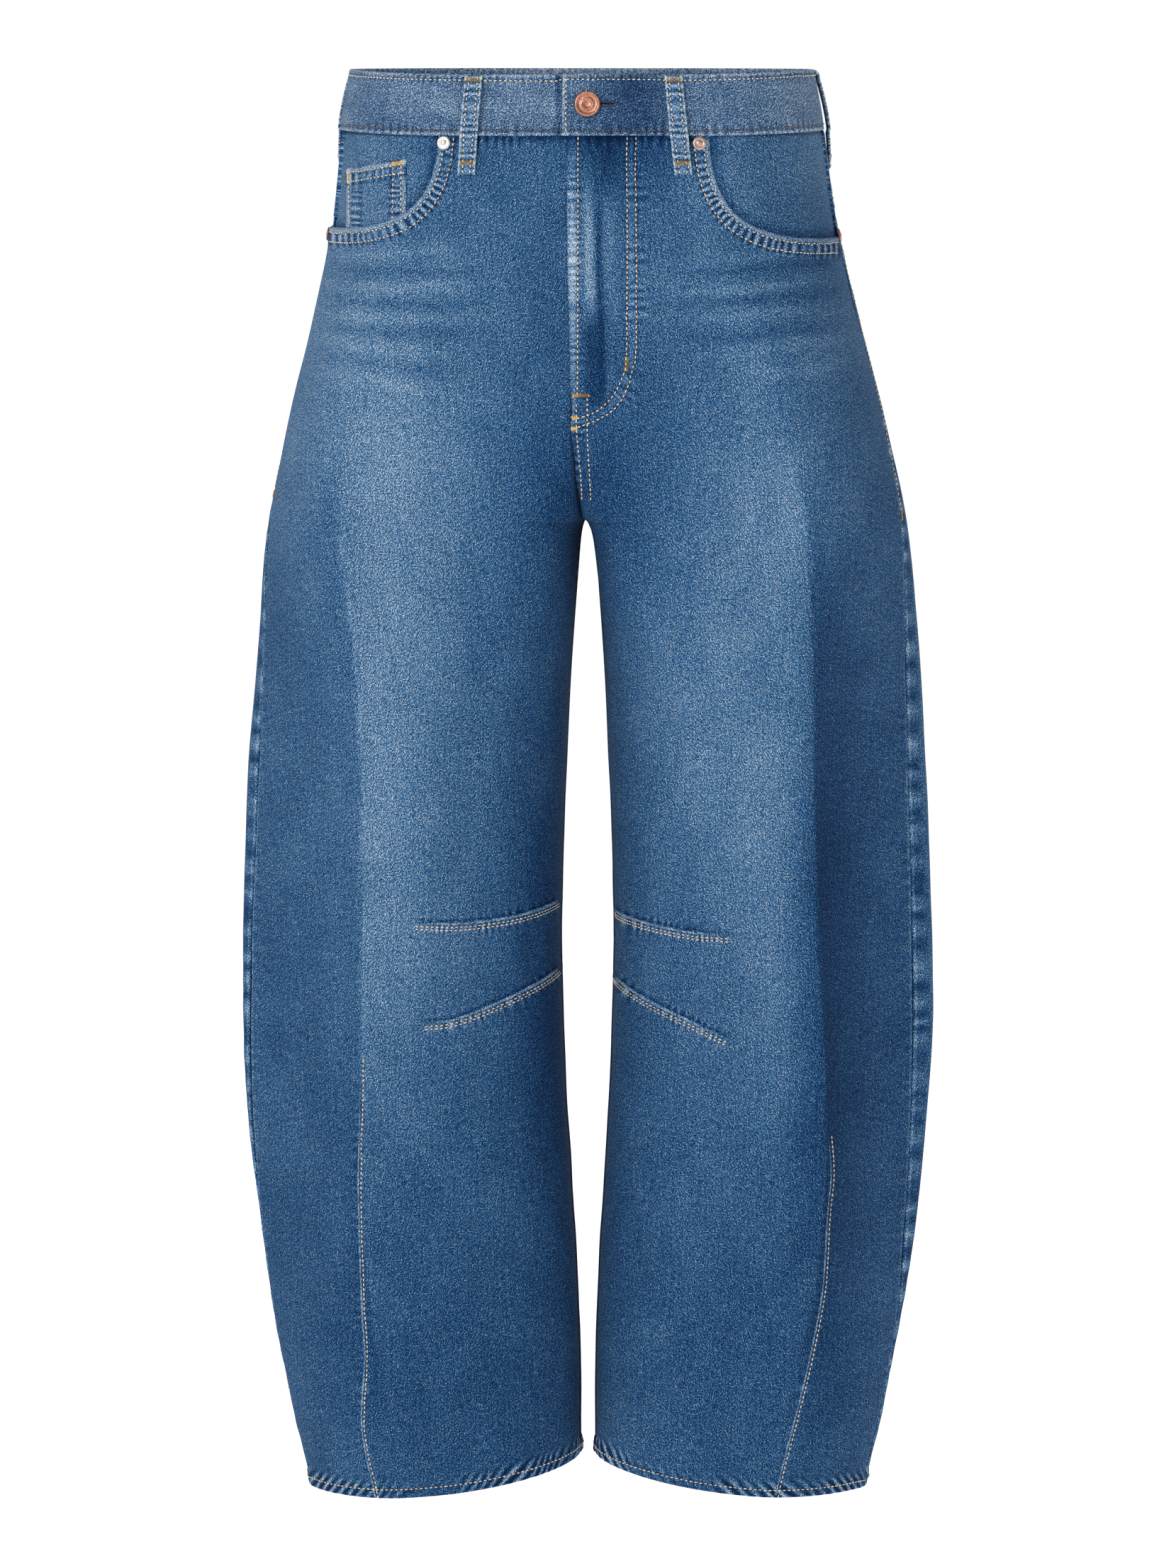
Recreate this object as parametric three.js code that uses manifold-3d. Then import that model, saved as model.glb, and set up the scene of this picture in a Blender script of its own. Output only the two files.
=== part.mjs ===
// Wide-leg barrel jeans, worn and hollow: waistband, fronts, backs, yokes, pockets, loops and metal.
// Millimetres. +Z is up, the front faces -Y, and the wearer's left is +X.
// The origin is the middle of the waist opening, level with the waistband's top edge.
import * as THREE from "three";
import { mergeVertices } from "three/addons/utils/BufferGeometryUtils.js";
import Module from "manifold-3d";

// Driving sizes
const cloth = 1.4;
const seamGap = 0.3;
const waistbandHeight = 41;
const panelTop = -waistbandHeight - seamGap;
const crotch = -302;
const hem = -976;
const hemTurn = 10;
const hemFoldThickness = 1.1;
const hemTilt = 11;
const hemLift = 9;
const riseCurveStart = -190;
const riseCurvePower = 2.7;
const riseDimple = 3;
const crotchArchWidth = 5;
const crotchArchHeight = 6;
const waistDip = 3;
const torsoYaw = THREE.MathUtils.degToRad(5);
const legSway = 4.5;

// Sections from waist to hem, for one half of the garment. side and seat are distances from the middle;
// front, back and sideDepth are along Y; inner is half the gap between the legs past the crotch arch.
const sections = [
  { z: 0, side: 157, inner: 0, front: -86, back: 88, seat: 60, sideDepth: 2 },
  { z: -41, side: 164, inner: 0, front: -92, back: 96, seat: 66, sideDepth: 2 },
  { z: -110, side: 173, inner: 0, front: -101, back: 116, seat: 78, sideDepth: 2 },
  { z: -170, side: 186.5, inner: 0, front: -107, back: 125, seat: 88, sideDepth: 2 },
  { z: -235, side: 203, inner: 0, front: -110, back: 122, seat: 98, sideDepth: 0 },
  { z: -302, side: 217.5, inner: 0, front: -108, back: 108, seat: 104, sideDepth: -2 },
  { z: -345, side: 222.5, inner: 2.8, front: -105, back: 100, seat: 108, sideDepth: -3 },
  { z: -420, side: 229, inner: 7.8, front: -100, back: 91, seat: 112, sideDepth: -4 },
  { z: -500, side: 234.5, inner: 11.4, front: -94, back: 84, seat: 114, sideDepth: -5 },
  { z: -600, side: 237.5, inner: 13.2, front: -87, back: 77, seat: 114, sideDepth: -6 },
  { z: -680, side: 237, inner: 11.4, front: -82, back: 72, seat: 114, sideDepth: -6 },
  { z: -760, side: 231, inner: 6.8, front: -77, back: 68, seat: 114, sideDepth: -5 },
  { z: -850, side: 218.5, inner: 2.4, front: -70, back: 63, seat: 112, sideDepth: -3 },
  { z: -925, side: 204.5, inner: 0, front: -64, back: 59, seat: 108, sideDepth: -1 },
  { z: -976, side: 193, inner: 0, front: -60, back: 57, seat: 104, sideDepth: 0 },
];

// The long front crease on each leg. crest is its distance from the middle, round is how the cloth turns
// back past it (2 is an ellipse, 1 is flat, less is hollow), and seam is how far the outseam lies before
// the side.
const creases = {
  right: [
    { z: 0, crest: 62, round: 2.1, seam: 0 },
    { z: -118, crest: 90, round: 2.1, seam: 0 },
    { z: -200, crest: 130, round: 2, seam: 3 },
    { z: -290, crest: 160, round: 1.6, seam: 11 },
    { z: -380, crest: 157, round: 1.3, seam: 15 },
    { z: -490, crest: 153, round: 1.12, seam: 14 },
    { z: -600, crest: 153, round: 1.06, seam: 9 },
    { z: -700, crest: 154, round: 1.06, seam: 5 },
    { z: -790, crest: 152, round: 1.15, seam: 1 },
    { z: -870, crest: 144, round: 1.4, seam: 0 },
    { z: -976, crest: 118, round: 1.95, seam: 0 },
  ],
  left: [
    { z: 0, crest: 62, round: 2.1, seam: 0 },
    { z: -118, crest: 90, round: 2.1, seam: 0 },
    { z: -200, crest: 128, round: 2, seam: 9 },
    { z: -290, crest: 152, round: 1.5, seam: 17 },
    { z: -380, crest: 151, round: 1.1, seam: 18 },
    { z: -490, crest: 153, round: 0.9, seam: 18 },
    { z: -600, crest: 157, round: 0.85, seam: 17 },
    { z: -700, crest: 162, round: 0.86, seam: 15 },
    { z: -790, crest: 160, round: 0.95, seam: 11 },
    { z: -870, crest: 146, round: 1.25, seam: 7 },
    { z: -976, crest: 116, round: 1.85, seam: 12 },
  ],
};
const backOuterRound = 2;

// The cloth turns squarely in toward the rise seams, and more softly toward the inseam of each leg.
const riseRound = 5;
const legRound = 2.5;
const legRoundFrom = -430;

// Soft folds. x runs from xTop to xBottom in the half's own distance from the middle; depth is along Y,
// positive where the cloth stands out.
const folds = [
  { half: "right", face: "front", xTop: 60, xBottom: 74, top: -215, bottom: -470, width: 13, depth: -4 },
  { half: "right", face: "front", xTop: 74, xBottom: 60, top: -420, bottom: -760, width: 16, depth: -3.5 },
  { half: "right", face: "front", xTop: 112, xBottom: 106, top: -300, bottom: -680, width: 18, depth: 3 },
  { half: "left", face: "front", xTop: 52, xBottom: 62, top: -230, bottom: -460, width: 14, depth: -3.5 },
  { half: "left", face: "front", xTop: 96, xBottom: 110, top: -260, bottom: -640, width: 18, depth: 3 },
  { half: "left", face: "front", xTop: 66, xBottom: 84, top: -560, bottom: -860, width: 14, depth: -2.5 },
  { half: "right", face: "back", xTop: 96, xBottom: 70, top: -235, bottom: -520, width: 16, depth: -5 },
  { half: "left", face: "back", xTop: 92, xBottom: 76, top: -240, bottom: -500, width: 16, depth: -5 },
  { half: "right", face: "back", xTop: 138, xBottom: 130, top: -330, bottom: -800, width: 18, depth: 4 },
  { half: "left", face: "back", xTop: 142, xBottom: 128, top: -340, bottom: -820, width: 18, depth: 4 },
  { half: "right", face: "back", xTop: 84, xBottom: 96, top: -540, bottom: -860, width: 14, depth: -3 },
  { half: "left", face: "back", xTop: 80, xBottom: 92, top: -520, bottom: -880, width: 14, depth: -3 },
];

// Sizes of what is sewn on.
const band = { stand: 1, thickness: 2.6, edge: 0.8, over: 4.5, under: 34, step: 1.45 };
const fly = { overlap: 2, bottom: -236, liftBottom: -256, lift: 1.7, reach: 30 };
const facing = { reach: 14, bottom: -150, thickness: 1 };
const backPocket = { inner: 38, width: 134, taper: 8, below: 16, height: 138, point: 20, thickness: 1.3 };
const coinPocket = { left: -161, right: -118, topLeft: -66, topRight: -58.5, bottom: -136, thickness: 1 };
const yoke = { atSide: -84, atCentre: -112 };
const loop = { width: 12, top: -1, bottom: -67.5, gap: 2.6, thickness: 1.6 };
const button = { fromMiddle: 12, z: -20, radius: 8.7, thickness: 2.4, dip: 0.9, shank: 2.6 };
const buttonhole = { radius: 3, length: 18, width: 1.6 };
const rivet = { radius: 4.7, thickness: 1.5, nub: 1.6, innerZ: -46, sideZ: -112, fromSide: 5 };
const zip = { from: 1.5, to: 22, bottom: -218, thickness: 1.1 };
const flyShield = { from: 1.5, to: 36, bottom: -224, thickness: 1.3 };
const welt = { width: 4, height: 1 };

// Seen from the front: where each scooped pocket mouth starts at the waistband, and where it meets the side.
const mouths = {
  right: { corner: -95.5, side: -172, bottom: -106, rivet: 84 },
  left: { corner: 85.5, side: 174, bottom: -112.5, rivet: 86.5 },
};

// Distances of the belt loops from the centre front, at the waistband's top and at the loop's foot.
const frontLoops = {
  right: { top: 64, foot: 69 },
  left: { top: 69, foot: 76 },
};
const sideLoopBehind = 16;

// Stitched darts seen from the front, as [x, z]: two from the inseam at each knee, one up from each hem.
const darts = [
  { name: "knee_dart_upper_right", start: [-17, -561], mid: [-59, -571], end: [-111, -576] },
  { name: "knee_dart_lower_right", start: [-17, -608], mid: [-56, -629], end: [-105, -646] },
  { name: "knee_dart_upper_left", start: [25, -568], mid: [60, -578.5], end: [98, -584] },
  { name: "knee_dart_lower_left", start: [25, -612], mid: [57, -635], end: [98, -655] },
  { name: "hem_dart_right", start: [-144, -963], mid: [-150, -844], end: [-151, -690] },
  { name: "hem_dart_left", start: [137, -955], mid: [164.5, -830], end: [168, -722] },
];

const halves = { right: -1, left: 1 };
const { smoothstep, clamp } = THREE.MathUtils;

// A smooth value from a table of rows ordered from top to bottom.
function along(rows, key, z) {
  const last = rows.length - 1;
  if (z >= rows[0].z) return rows[0][key];
  if (z <= rows[last].z) return rows[last][key];
  const i = rows.findIndex((row) => row.z <= z) - 1;
  const slope = (k) => {
    const above = rows[Math.max(k - 1, 0)];
    const below = rows[Math.min(k + 1, last)];
    return (below[key] - above[key]) / (below.z - above.z);
  };
  const step = rows[i + 1].z - rows[i].z;
  const t = (z - rows[i].z) / step;
  const t2 = t * t;
  const t3 = t2 * t;
  return (
    (2 * t3 - 3 * t2 + 1) * rows[i][key] +
    (t3 - 2 * t2 + t) * step * slope(i) +
    (3 * t2 - 2 * t3) * rows[i + 1][key] +
    (t3 - t2) * step * slope(i + 1)
  );
}

// The front and back rises curve under the wearer and meet at the crotch.
function riseShare(z) {
  if (z >= riseCurveStart) return 1;
  if (z <= crotch) return 0;
  const t = (riseCurveStart - z) / (riseCurveStart - crotch);
  return Math.pow(1 - Math.pow(t, riseCurvePower), 1 / riseCurvePower);
}

function innerEdge(z) {
  if (z >= crotch) return seamGap / 2;
  const arch = crotchArchWidth * (1 - Math.exp((z - crotch) / crotchArchHeight));
  return seamGap / 2 + arch + along(sections, "inner", z);
}

// One quarter of a section from one point to the next, as a power curve.
function quarter(from, to, round, startsAcross, steps) {
  const points = [];
  for (let i = 0; i <= steps; i++) {
    const angle = (i / steps) * (Math.PI / 2);
    const rising = Math.pow(Math.sin(angle), 2 / round);
    const falling = 1 - Math.pow(Math.cos(angle), 2 / round);
    const [shareX, shareY] = startsAcross ? [rising, falling] : [falling, rising];
    points.push([from[0] + (to[0] - from[0]) * shareX, from[1] + (to[1] - from[1]) * shareY]);
  }
  return points;
}

function foldDepth(half, face, x, z) {
  let depth = 0;
  for (const fold of folds) {
    if (fold.half !== half || fold.face !== face || z > fold.top || z < fold.bottom) continue;
    const t = (fold.top - z) / (fold.top - fold.bottom);
    const centre = fold.xTop + (fold.xBottom - fold.xTop) * t;
    const across = (x - centre) / fold.width;
    depth += fold.depth * Math.sin(Math.PI * t) ** 2 * Math.exp(-across * across);
  }
  return depth;
}

// Half a section at a height, from the middle of the front round the side to the middle of the back.
const quarterSteps = 40;
const made = new Map();
function outline(half, z) {
  const key = half + z.toFixed(3);
  if (made.has(key)) return made.get(key);
  const at = (name) => along(sections, name, z);
  const crest = [along(creases[half], "crest", z), at("front")];
  const side = [at("side"), at("sideDepth")];
  const seat = [at("seat"), at("back")];
  const joint = at("sideDepth") + 8;
  const dimple = riseDimple * smoothstep(-z, 60, 260);
  const start = [innerEdge(z), joint + (at("front") + dimple - joint) * riseShare(z)];
  const end = [innerEdge(z), joint + (at("back") - dimple - joint) * riseShare(z)];
  const innerRound = legRound + (riseRound - legRound) * smoothstep(z, legRoundFrom, crotch);
  const points = [
    ...quarter(start, crest, innerRound, false, quarterSteps),
    ...quarter(crest, side, along(creases[half], "round", z), true, quarterSteps).slice(1),
    ...quarter(side, seat, backOuterRound, false, quarterSteps).slice(1),
    ...quarter(seat, end, innerRound, true, quarterSteps).slice(1),
  ];
  for (const point of points) {
    const face = point[1] < side[1] ? "front" : "back";
    const share = clamp((point[1] - side[1]) / (at(face) - side[1]), 0, 1);
    const outward = face === "front" ? -1 : 1;
    point[1] += outward * foldDepth(half, face, point[0], z) * share;
  }
  const lengths = [0];
  for (let i = 1; i < points.length; i++) {
    const step = Math.hypot(points[i][0] - points[i - 1][0], points[i][1] - points[i - 1][1]);
    lengths.push(lengths[i - 1] + step);
  }
  const line = {
    points,
    lengths,
    crest: lengths[quarterSteps],
    side: lengths[2 * quarterSteps],
    seam: lengths[2 * quarterSteps] - along(creases[half], "seam", z),
    total: lengths.at(-1),
  };
  made.set(key, line);
  return line;
}

// The point at a distance along a half section. Past either end it crosses to the other half above the
// crotch, and comes round to the other end below it.
function pointAt(half, distance, z) {
  const line = outline(half, z);
  const past = distance < 0 ? -distance : distance - line.total;
  if (past > 0) {
    if (z < crotch) return pointAt(half, distance < 0 ? line.total - past : past, z);
    const other = half === "left" ? "right" : "left";
    const total = outline(other, z).total;
    const [x, y] = pointAt(other, distance < 0 ? past : total - past, z);
    return [-x, y];
  }
  let low = 0;
  let high = line.lengths.length - 1;
  while (high - low > 1) {
    const middle = (low + high) >> 1;
    if (line.lengths[middle] <= distance) low = middle;
    else high = middle;
  }
  const share = (distance - line.lengths[low]) / (line.lengths[high] - line.lengths[low]);
  return [0, 1].map((k) => line.points[low][k] + (line.points[high][k] - line.points[low][k]) * share);
}

// From a half's own section to the garment: mirrored, turned with the hips, swayed and tilted.
function surface(half, distance, z) {
  const [x, y] = pointAt(half, distance, z);
  const yaw = torsoYaw * (1 - smoothstep(-z, 240, 420));
  const sway = legSway * smoothstep(-z, 0, -crotch);
  const signed = x * halves[half];
  const side = along(sections, "side", z);
  const middle = (side + innerEdge(z)) / 2;
  const aside = (x - middle) / (side - middle);
  const tilt = (hemTilt * aside - hemLift * aside * aside) * smoothstep(-z, 560, -hem);
  const frontness = clamp(-y / 90, 0, 1);
  const dip = waistDip * (1 - smoothstep(-z, 0, 170)) * frontness ** 2;
  return new THREE.Vector3(
    signed * Math.cos(yaw) + y * Math.sin(yaw) + sway,
    y * Math.cos(yaw) - signed * Math.sin(yaw),
    z - tilt - dip,
  );
}

// The outward direction of the cloth at a point.
const feel = 3;
const onSeam = 0.3;
function outwardAt(half, distance, z) {
  const total = outline(half, z).total;
  const onRise = distance < onSeam || distance > total - onSeam;
  if (onRise && Math.abs(z - crotch) < onSeam) return new THREE.Vector3(0, 0, -1);
  const across = surface(half, distance + feel, z).sub(surface(half, distance - feel, z));
  const above = Math.min(z + feel, z < crotch ? crotch : 0);
  const below = Math.max(z - feel, z < crotch ? hem : crotch);
  const shared = (height) => {
    const share = distance / total;
    return surface(half, distance < 0 ? distance : share * outline(half, height).total, height);
  };
  const normal = across.cross(shared(above).sub(shared(below))).normalize();
  return half === "right" ? normal.negate() : normal;
}

// A closed wall from two grids of points with the same rows and columns.
function wall(outer, inner, turned) {
  const rows = outer.length;
  const columns = outer[0].length;
  const positions = [...outer.flat(), ...inner.flat()].flatMap((p) => [p.x, p.y, p.z]);
  const index = [];
  const out = (r, c) => r * columns + c;
  const back = (r, c) => rows * columns + r * columns + c;
  const quad = (a, b, c, d) => index.push(...(turned ? [a, c, b, a, d, c] : [a, b, c, a, c, d]));
  const foot = rows - 1;
  const end = columns - 1;
  for (let r = 0; r < foot; r++) {
    for (let c = 0; c < end; c++) {
      quad(out(r, c), out(r + 1, c), out(r + 1, c + 1), out(r, c + 1));
      quad(back(r, c), back(r, c + 1), back(r + 1, c + 1), back(r + 1, c));
    }
    quad(out(r, 0), back(r, 0), back(r + 1, 0), out(r + 1, 0));
    quad(out(r, end), out(r + 1, end), back(r + 1, end), back(r, end));
  }
  for (let c = 0; c < end; c++) {
    quad(out(0, c), out(0, c + 1), back(0, c + 1), back(0, c));
    quad(out(foot, c), back(foot, c), back(foot, c + 1), out(foot, c + 1));
  }
  const geometry = new THREE.BufferGeometry();
  geometry.setAttribute("position", new THREE.Float32BufferAttribute(positions, 3));
  geometry.setIndex(index);
  geometry.computeVertexNormals();
  return geometry;
}

// A wall on the garment's surface. map takes a row and a column to a distance and a height, and may name
// the half; depths gives the outer and the inner face there, along the outward direction.
function sheetOn(half, rows, columns, map, depths) {
  const outer = [];
  const inner = [];
  for (const row of rows) {
    const places = columns.map((column) => ({ half, ...map(row, column) }));
    const faces = places.map((place, i) => {
      const point = surface(place.half, place.distance, place.z);
      const normal = outwardAt(place.half, place.distance, place.z);
      return depths(row, columns[i], place).map((depth) => point.clone().addScaledVector(normal, depth));
    });
    outer.push(faces.map((pair) => pair[0]));
    inner.push(faces.map((pair) => pair[1]));
  }
  return wall(outer, inner, half === "right");
}

function even(count, from = 0, to = 1) {
  return Array.from({ length: count + 1 }, (_, i) => from + ((to - from) * i) / count);
}

// Heights of the rows of a leg panel, closest together where the rise meets the inseam.
const torsoSteps = 12;
const legSteps = 14;
const legCrowding = 1.35;
const hemStep = 0.8;
function panelRows(top) {
  const torso = even(torsoSteps).map((t) => top + (crotch - top) * Math.sin((t * Math.PI) / 2));
  const legBottom = hem + hemTurn;
  const leg = even(legSteps).map((t) => crotch + (legBottom - crotch) * t ** legCrowding);
  return [...torso, ...leg.slice(1), legBottom - hemStep, hem];
}

const hemStand = (z) => (z < hem + hemTurn - hemStep / 2 ? hemFoldThickness : 0);
const seamEdge = seamGap / 2;

// A front, from the centre front and inseam to the outseam, as a layer between two depths. The left one
// runs on past the middle as the edge of the fly, which lies over the right one.
function frontLayer(half, outer, inner) {
  const columns = [...even(9, 0, 0.5), ...even(7, 0.5, 1).slice(1)];
  if (half === "left") columns.unshift(-1);
  const first = half === "left" ? seamEdge : 0;
  const map = (z, column) => {
    const line = outline(half, z);
    const start = z > crotch ? 0 : seamEdge;
    const end = line.seam - seamEdge;
    if (column < 0) return { distance: start - (z > fly.bottom ? fly.overlap : 0), z };
    if (column === 0) return { distance: start + first, z };
    if (column <= 0.5) return { distance: start + (line.crest - start) * column * 2, z };
    return { distance: line.crest + (end - line.crest) * (column * 2 - 1), z };
  };
  const depths = (row, column, { distance, z }) => {
    const onFly = half === "left" && z > fly.liftBottom;
    const lift = onFly ? fly.lift * (1 - smoothstep(distance, 1, fly.reach)) : 0;
    return [lift + hemStand(z) + outer, lift + inner];
  };
  return sheetOn(half, panelRows(panelTop), columns, map, depths);
}

// A back, from the outseam round the side to the centre back and inseam, below the yoke seam.
const yokeSeam = (share) => yoke.atSide + (yoke.atCentre - yoke.atSide) * share;
const sideShare = 0.12;
function backPlace(half, z, share) {
  const line = outline(half, z);
  const start = line.seam + seamEdge;
  const end = line.total - (z > crotch ? 0 : seamEdge);
  const toSide = Math.max(line.side, start + 1);
  if (share <= sideShare) return { distance: start + ((toSide - start) * share) / sideShare, z };
  return { distance: toSide + ((end - toSide) * (share - sideShare)) / (1 - sideShare), z };
}

const backColumns = [0, ...even(12, sideShare, 1)];
function backLayer(half, outer, inner) {
  const top = yoke.atSide - seamGap;
  const map = (row, share) => {
    const slant = 1 - smoothstep(-row, -top, 235);
    return backPlace(half, row + (yokeSeam(share) - yoke.atSide) * slant, share);
  };
  const depths = (row, column, { z }) => [hemStand(z) + outer, inner];
  return sheetOn(half, panelRows(top), backColumns, map, depths);
}

function yokePanel(half) {
  const map = (row, share) => backPlace(half, panelTop + (yokeSeam(share) - panelTop) * row, share);
  return sheetOn(half, even(3), backColumns, map, () => [0, -cloth]);
}

// Boolean help: a geometry as a solid, and back.
const wasm = await Module();
wasm.setup();

function solidOf(geometry) {
  const bare = geometry.index ? geometry.toNonIndexed() : geometry.clone();
  const points = new THREE.BufferGeometry().setAttribute("position", bare.getAttribute("position"));
  const merged = mergeVertices(points, 1e-3);
  return new wasm.Manifold(
    new wasm.Mesh({
      numProp: 3,
      vertProperties: new Float32Array(merged.attributes.position.array),
      triVerts: new Uint32Array(merged.index.array),
    }),
  );
}

function geometryOf(solid) {
  const mesh = solid.getMesh();
  const geometry = new THREE.BufferGeometry();
  geometry.setAttribute("position", new THREE.Float32BufferAttribute(mesh.vertProperties, 3));
  geometry.setIndex(new THREE.BufferAttribute(new Uint32Array(mesh.triVerts), 1));
  geometry.computeVertexNormals();
  return geometry;
}

// A block over an outline seen from the front, as [x, z] points, through one face of the garment.
const faces = { front: [-200, 30], back: [10, 200] };
function prism(points, face) {
  const [near, far] = faces[face];
  const shape = new THREE.Shape(points.map(([x, z]) => new THREE.Vector2(x, z)));
  const block = new THREE.ExtrudeGeometry(shape, { depth: far - near, bevelEnabled: false });
  block.rotateX(Math.PI / 2);
  block.translate(0, far, 0);
  return solidOf(block);
}

// What lies on a panel: the part of one of its layers that an outline takes in.
function piece(layer, points, face = "front") {
  return geometryOf(solidOf(layer).intersect(prism(points, face)));
}

const onCloth = (half, places) =>
  places.map(([distance, z]) => {
    const point = surface(half, distance, z);
    return [point.x, point.z];
  });

const aboveWaist = 20;
const pastSide = 60;
function mouthOutline(half) {
  const { corner, side, bottom } = mouths[half];
  const sign = halves[half];
  const curve = new THREE.CubicBezierCurve(
    new THREE.Vector2(corner, panelTop - 4),
    new THREE.Vector2(corner + 2.5 * sign, bottom + 18),
    new THREE.Vector2(corner + 23 * sign, bottom),
    new THREE.Vector2(side, bottom),
  );
  const beyond = side + pastSide * sign;
  const scoop = curve.getPoints(12).map((p) => [p.x, p.y]);
  return [[corner, aboveWaist], ...scoop, [beyond, bottom], [beyond, aboveWaist]];
}

function front(half) {
  const whole = solidOf(frontLayer(half, 0, -cloth));
  return geometryOf(whole.subtract(prism(mouthOutline(half), "front")));
}

// The denim facing that shows in a pocket mouth. On the right it leaves room for the coin pocket.
const behindFront = -cloth - seamGap;
function pocketFacing(half) {
  const from = mouths[half].corner - facing.reach * halves[half];
  const to = mouths[half].side + pastSide * halves[half];
  const outer = half === "right" ? behindFront - coinPocket.thickness - seamGap : behindFront;
  const box = [[from, aboveWaist], [from, facing.bottom], [to, facing.bottom], [to, aboveWaist]];
  return piece(frontLayer(half, outer, outer - facing.thickness), box);
}

// The coin pocket lies on the right facing, and its foot runs on behind the front.
function coinPocketPatch() {
  const { left, right, topLeft, topRight, bottom, thickness } = coinPocket;
  const box = [[left, topLeft], [left, bottom], [right, bottom], [right, topRight]];
  return piece(frontLayer("right", behindFront, behindFront - thickness), box);
}

function backPocketPatch(half) {
  const { inner, width, taper, below, height, point, thickness } = backPocket;
  const line = outline(half, yoke.atCentre);
  const seamAt = (fromCentre) => yokeSeam(1 - fromCentre / (line.total - line.seam)) - below;
  const places = [
    [inner, seamAt(inner)],
    [inner + width, seamAt(inner + width)],
    [inner + width - taper, seamAt(inner + width) - height],
    [inner + width / 2, seamAt(inner + width / 2) - height - point],
    [inner + taper, seamAt(inner) - height],
  ];
  const points = onCloth(half, places.map(([fromCentre, z]) => [outline(half, z).total - fromCentre, z]));
  return piece(backLayer(half, seamGap + thickness, seamGap), points, "back");
}

// Strips behind the fly: the zip's tape, and the shield behind it.
function flyStrip({ from, to, bottom, thickness }, outer) {
  const down = even(6, panelTop - 0.5, bottom);
  const points = onCloth("left", [...down.map((z) => [from, z]), ...down.reverse().map((z) => [to, z])]);
  return piece(frontLayer("left", outer, outer - thickness), points);
}

// A raised stitched dart on a front, tapering to its end.
function dartWelt({ start, mid, end, name }) {
  const half = name.endsWith("right") ? "right" : "left";
  const pull = [0, 1].map((k) => 2 * mid[k] - (start[k] + end[k]) / 2);
  const spine = new THREE.QuadraticBezierCurve(
    new THREE.Vector2(...start),
    new THREE.Vector2(...pull),
    new THREE.Vector2(...end),
  );
  const side = (sign) =>
    even(12).map((t) => {
      const point = spine.getPoint(t);
      const tangent = spine.getTangent(t);
      const reach = (sign * welt.width * (1 - 0.6 * t)) / 2;
      return [point.x - tangent.y * reach, point.y + tangent.x * reach];
    });
  return piece(frontLayer(half, seamGap + welt.height, seamGap), [...side(1), ...side(-1).reverse()]);
}

// The waistband: one folded strip that goes round from under its own end, at the wearer's left front.
function waistband() {
  const run = (half, part, shares) => shares.map((share) => ({ half, part, share }));
  const columns = [
    ...even(5, band.under, 0).map((distance) => ({ half: "left", distance, layer: "under" })),
    ...run("right", "front", even(14).slice(1)),
    ...run("right", "back", even(13).slice(1)),
    ...run("left", "back", even(13).reverse().slice(1)),
    ...run("left", "front", even(14).reverse().slice(1)),
    { half: "left", distance: -band.over, layer: "over" },
  ];
  const map = (row, column) => {
    const line = outline(column.half, row.z);
    let distance = column.distance;
    if (column.part === "front") distance = line.side * column.share;
    if (column.part === "back") distance = line.side + (line.total - line.side) * column.share;
    return { half: column.half, distance, z: row.z };
  };
  const shift = (column, distance) => {
    if (column.layer === "under") return -band.step;
    if (column.part === "back") return 0;
    const ramp = 1 - smoothstep(distance, column.half === "left" ? 34 : 12, 80);
    return (column.half === "left" ? band.step : -band.step) * ramp;
  };
  const rows = [
    { z: 0, inset: band.edge },
    { z: -1.5, inset: 0 },
    { z: -20, inset: -0.3 },
    { z: -39.5, inset: 0 },
    { z: -waistbandHeight, inset: band.edge },
  ];
  const depths = (row, column, { distance }) => {
    const outer = band.stand + shift(column, distance);
    return [outer - row.inset, outer - band.thickness + Math.max(row.inset, 0) / 2];
  };
  return sheetOn("right", rows, columns, map, depths);
}

// A belt loop: sewn down at its head and foot, and standing clear of the waistband between them.
function beltLoop(half, placeAt) {
  const rows = [0, 0.06, 0.25, 0.5, 0.7, 0.85, 0.94, 1];
  const map = (row, column) => {
    const z = loop.top + (loop.bottom - loop.top) * row;
    return { distance: placeAt(row, z) + loop.width * (column - 0.5), z };
  };
  const depths = (row, column, { z }) => {
    const base = z > panelTop ? band.stand : 0;
    const bow = loop.gap * Math.sin(Math.PI * Math.min(row / 0.94, 1)) ** 0.7;
    return [base + bow + seamGap + loop.thickness, base + bow + seamGap];
  };
  return sheetOn(half, rows, even(3), map, depths);
}

// Turns a metal part to stand on the cloth at a place.
function stoodOn(geometry, half, distance, z, stand) {
  const normal = outwardAt(half, distance, z);
  const turn = new THREE.Quaternion().setFromUnitVectors(new THREE.Vector3(0, 1, 0), normal);
  const place = surface(half, distance, z).addScaledVector(normal, stand);
  geometry.applyMatrix4(new THREE.Matrix4().compose(place, turn, new THREE.Vector3(1, 1, 1)));
  return geometry;
}

const lathe = (profile, segments) =>
  new THREE.LatheGeometry(profile.map(([r, h]) => new THREE.Vector2(r, h)), segments);

// The button's shank comes up through the buttonhole from the strip's under end.
const buttonStand = band.stand + band.step + 0.7;
function buttonTop() {
  const { radius, thickness, dip, shank } = button;
  const foot = band.stand - band.step + seamGap - buttonStand;
  return lathe(
    [
      [0, foot],
      [shank, foot],
      [shank, 0],
      [radius - 0.6, 0.1],
      [radius, 0.9],
      [radius, thickness - 0.7],
      [radius - 1, thickness],
      [radius - 2, thickness - dip],
      [shank + 0.8, thickness - dip * 0.6],
      [shank, thickness - 0.2],
      [0, thickness - 0.9],
    ],
    28,
  );
}

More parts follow.
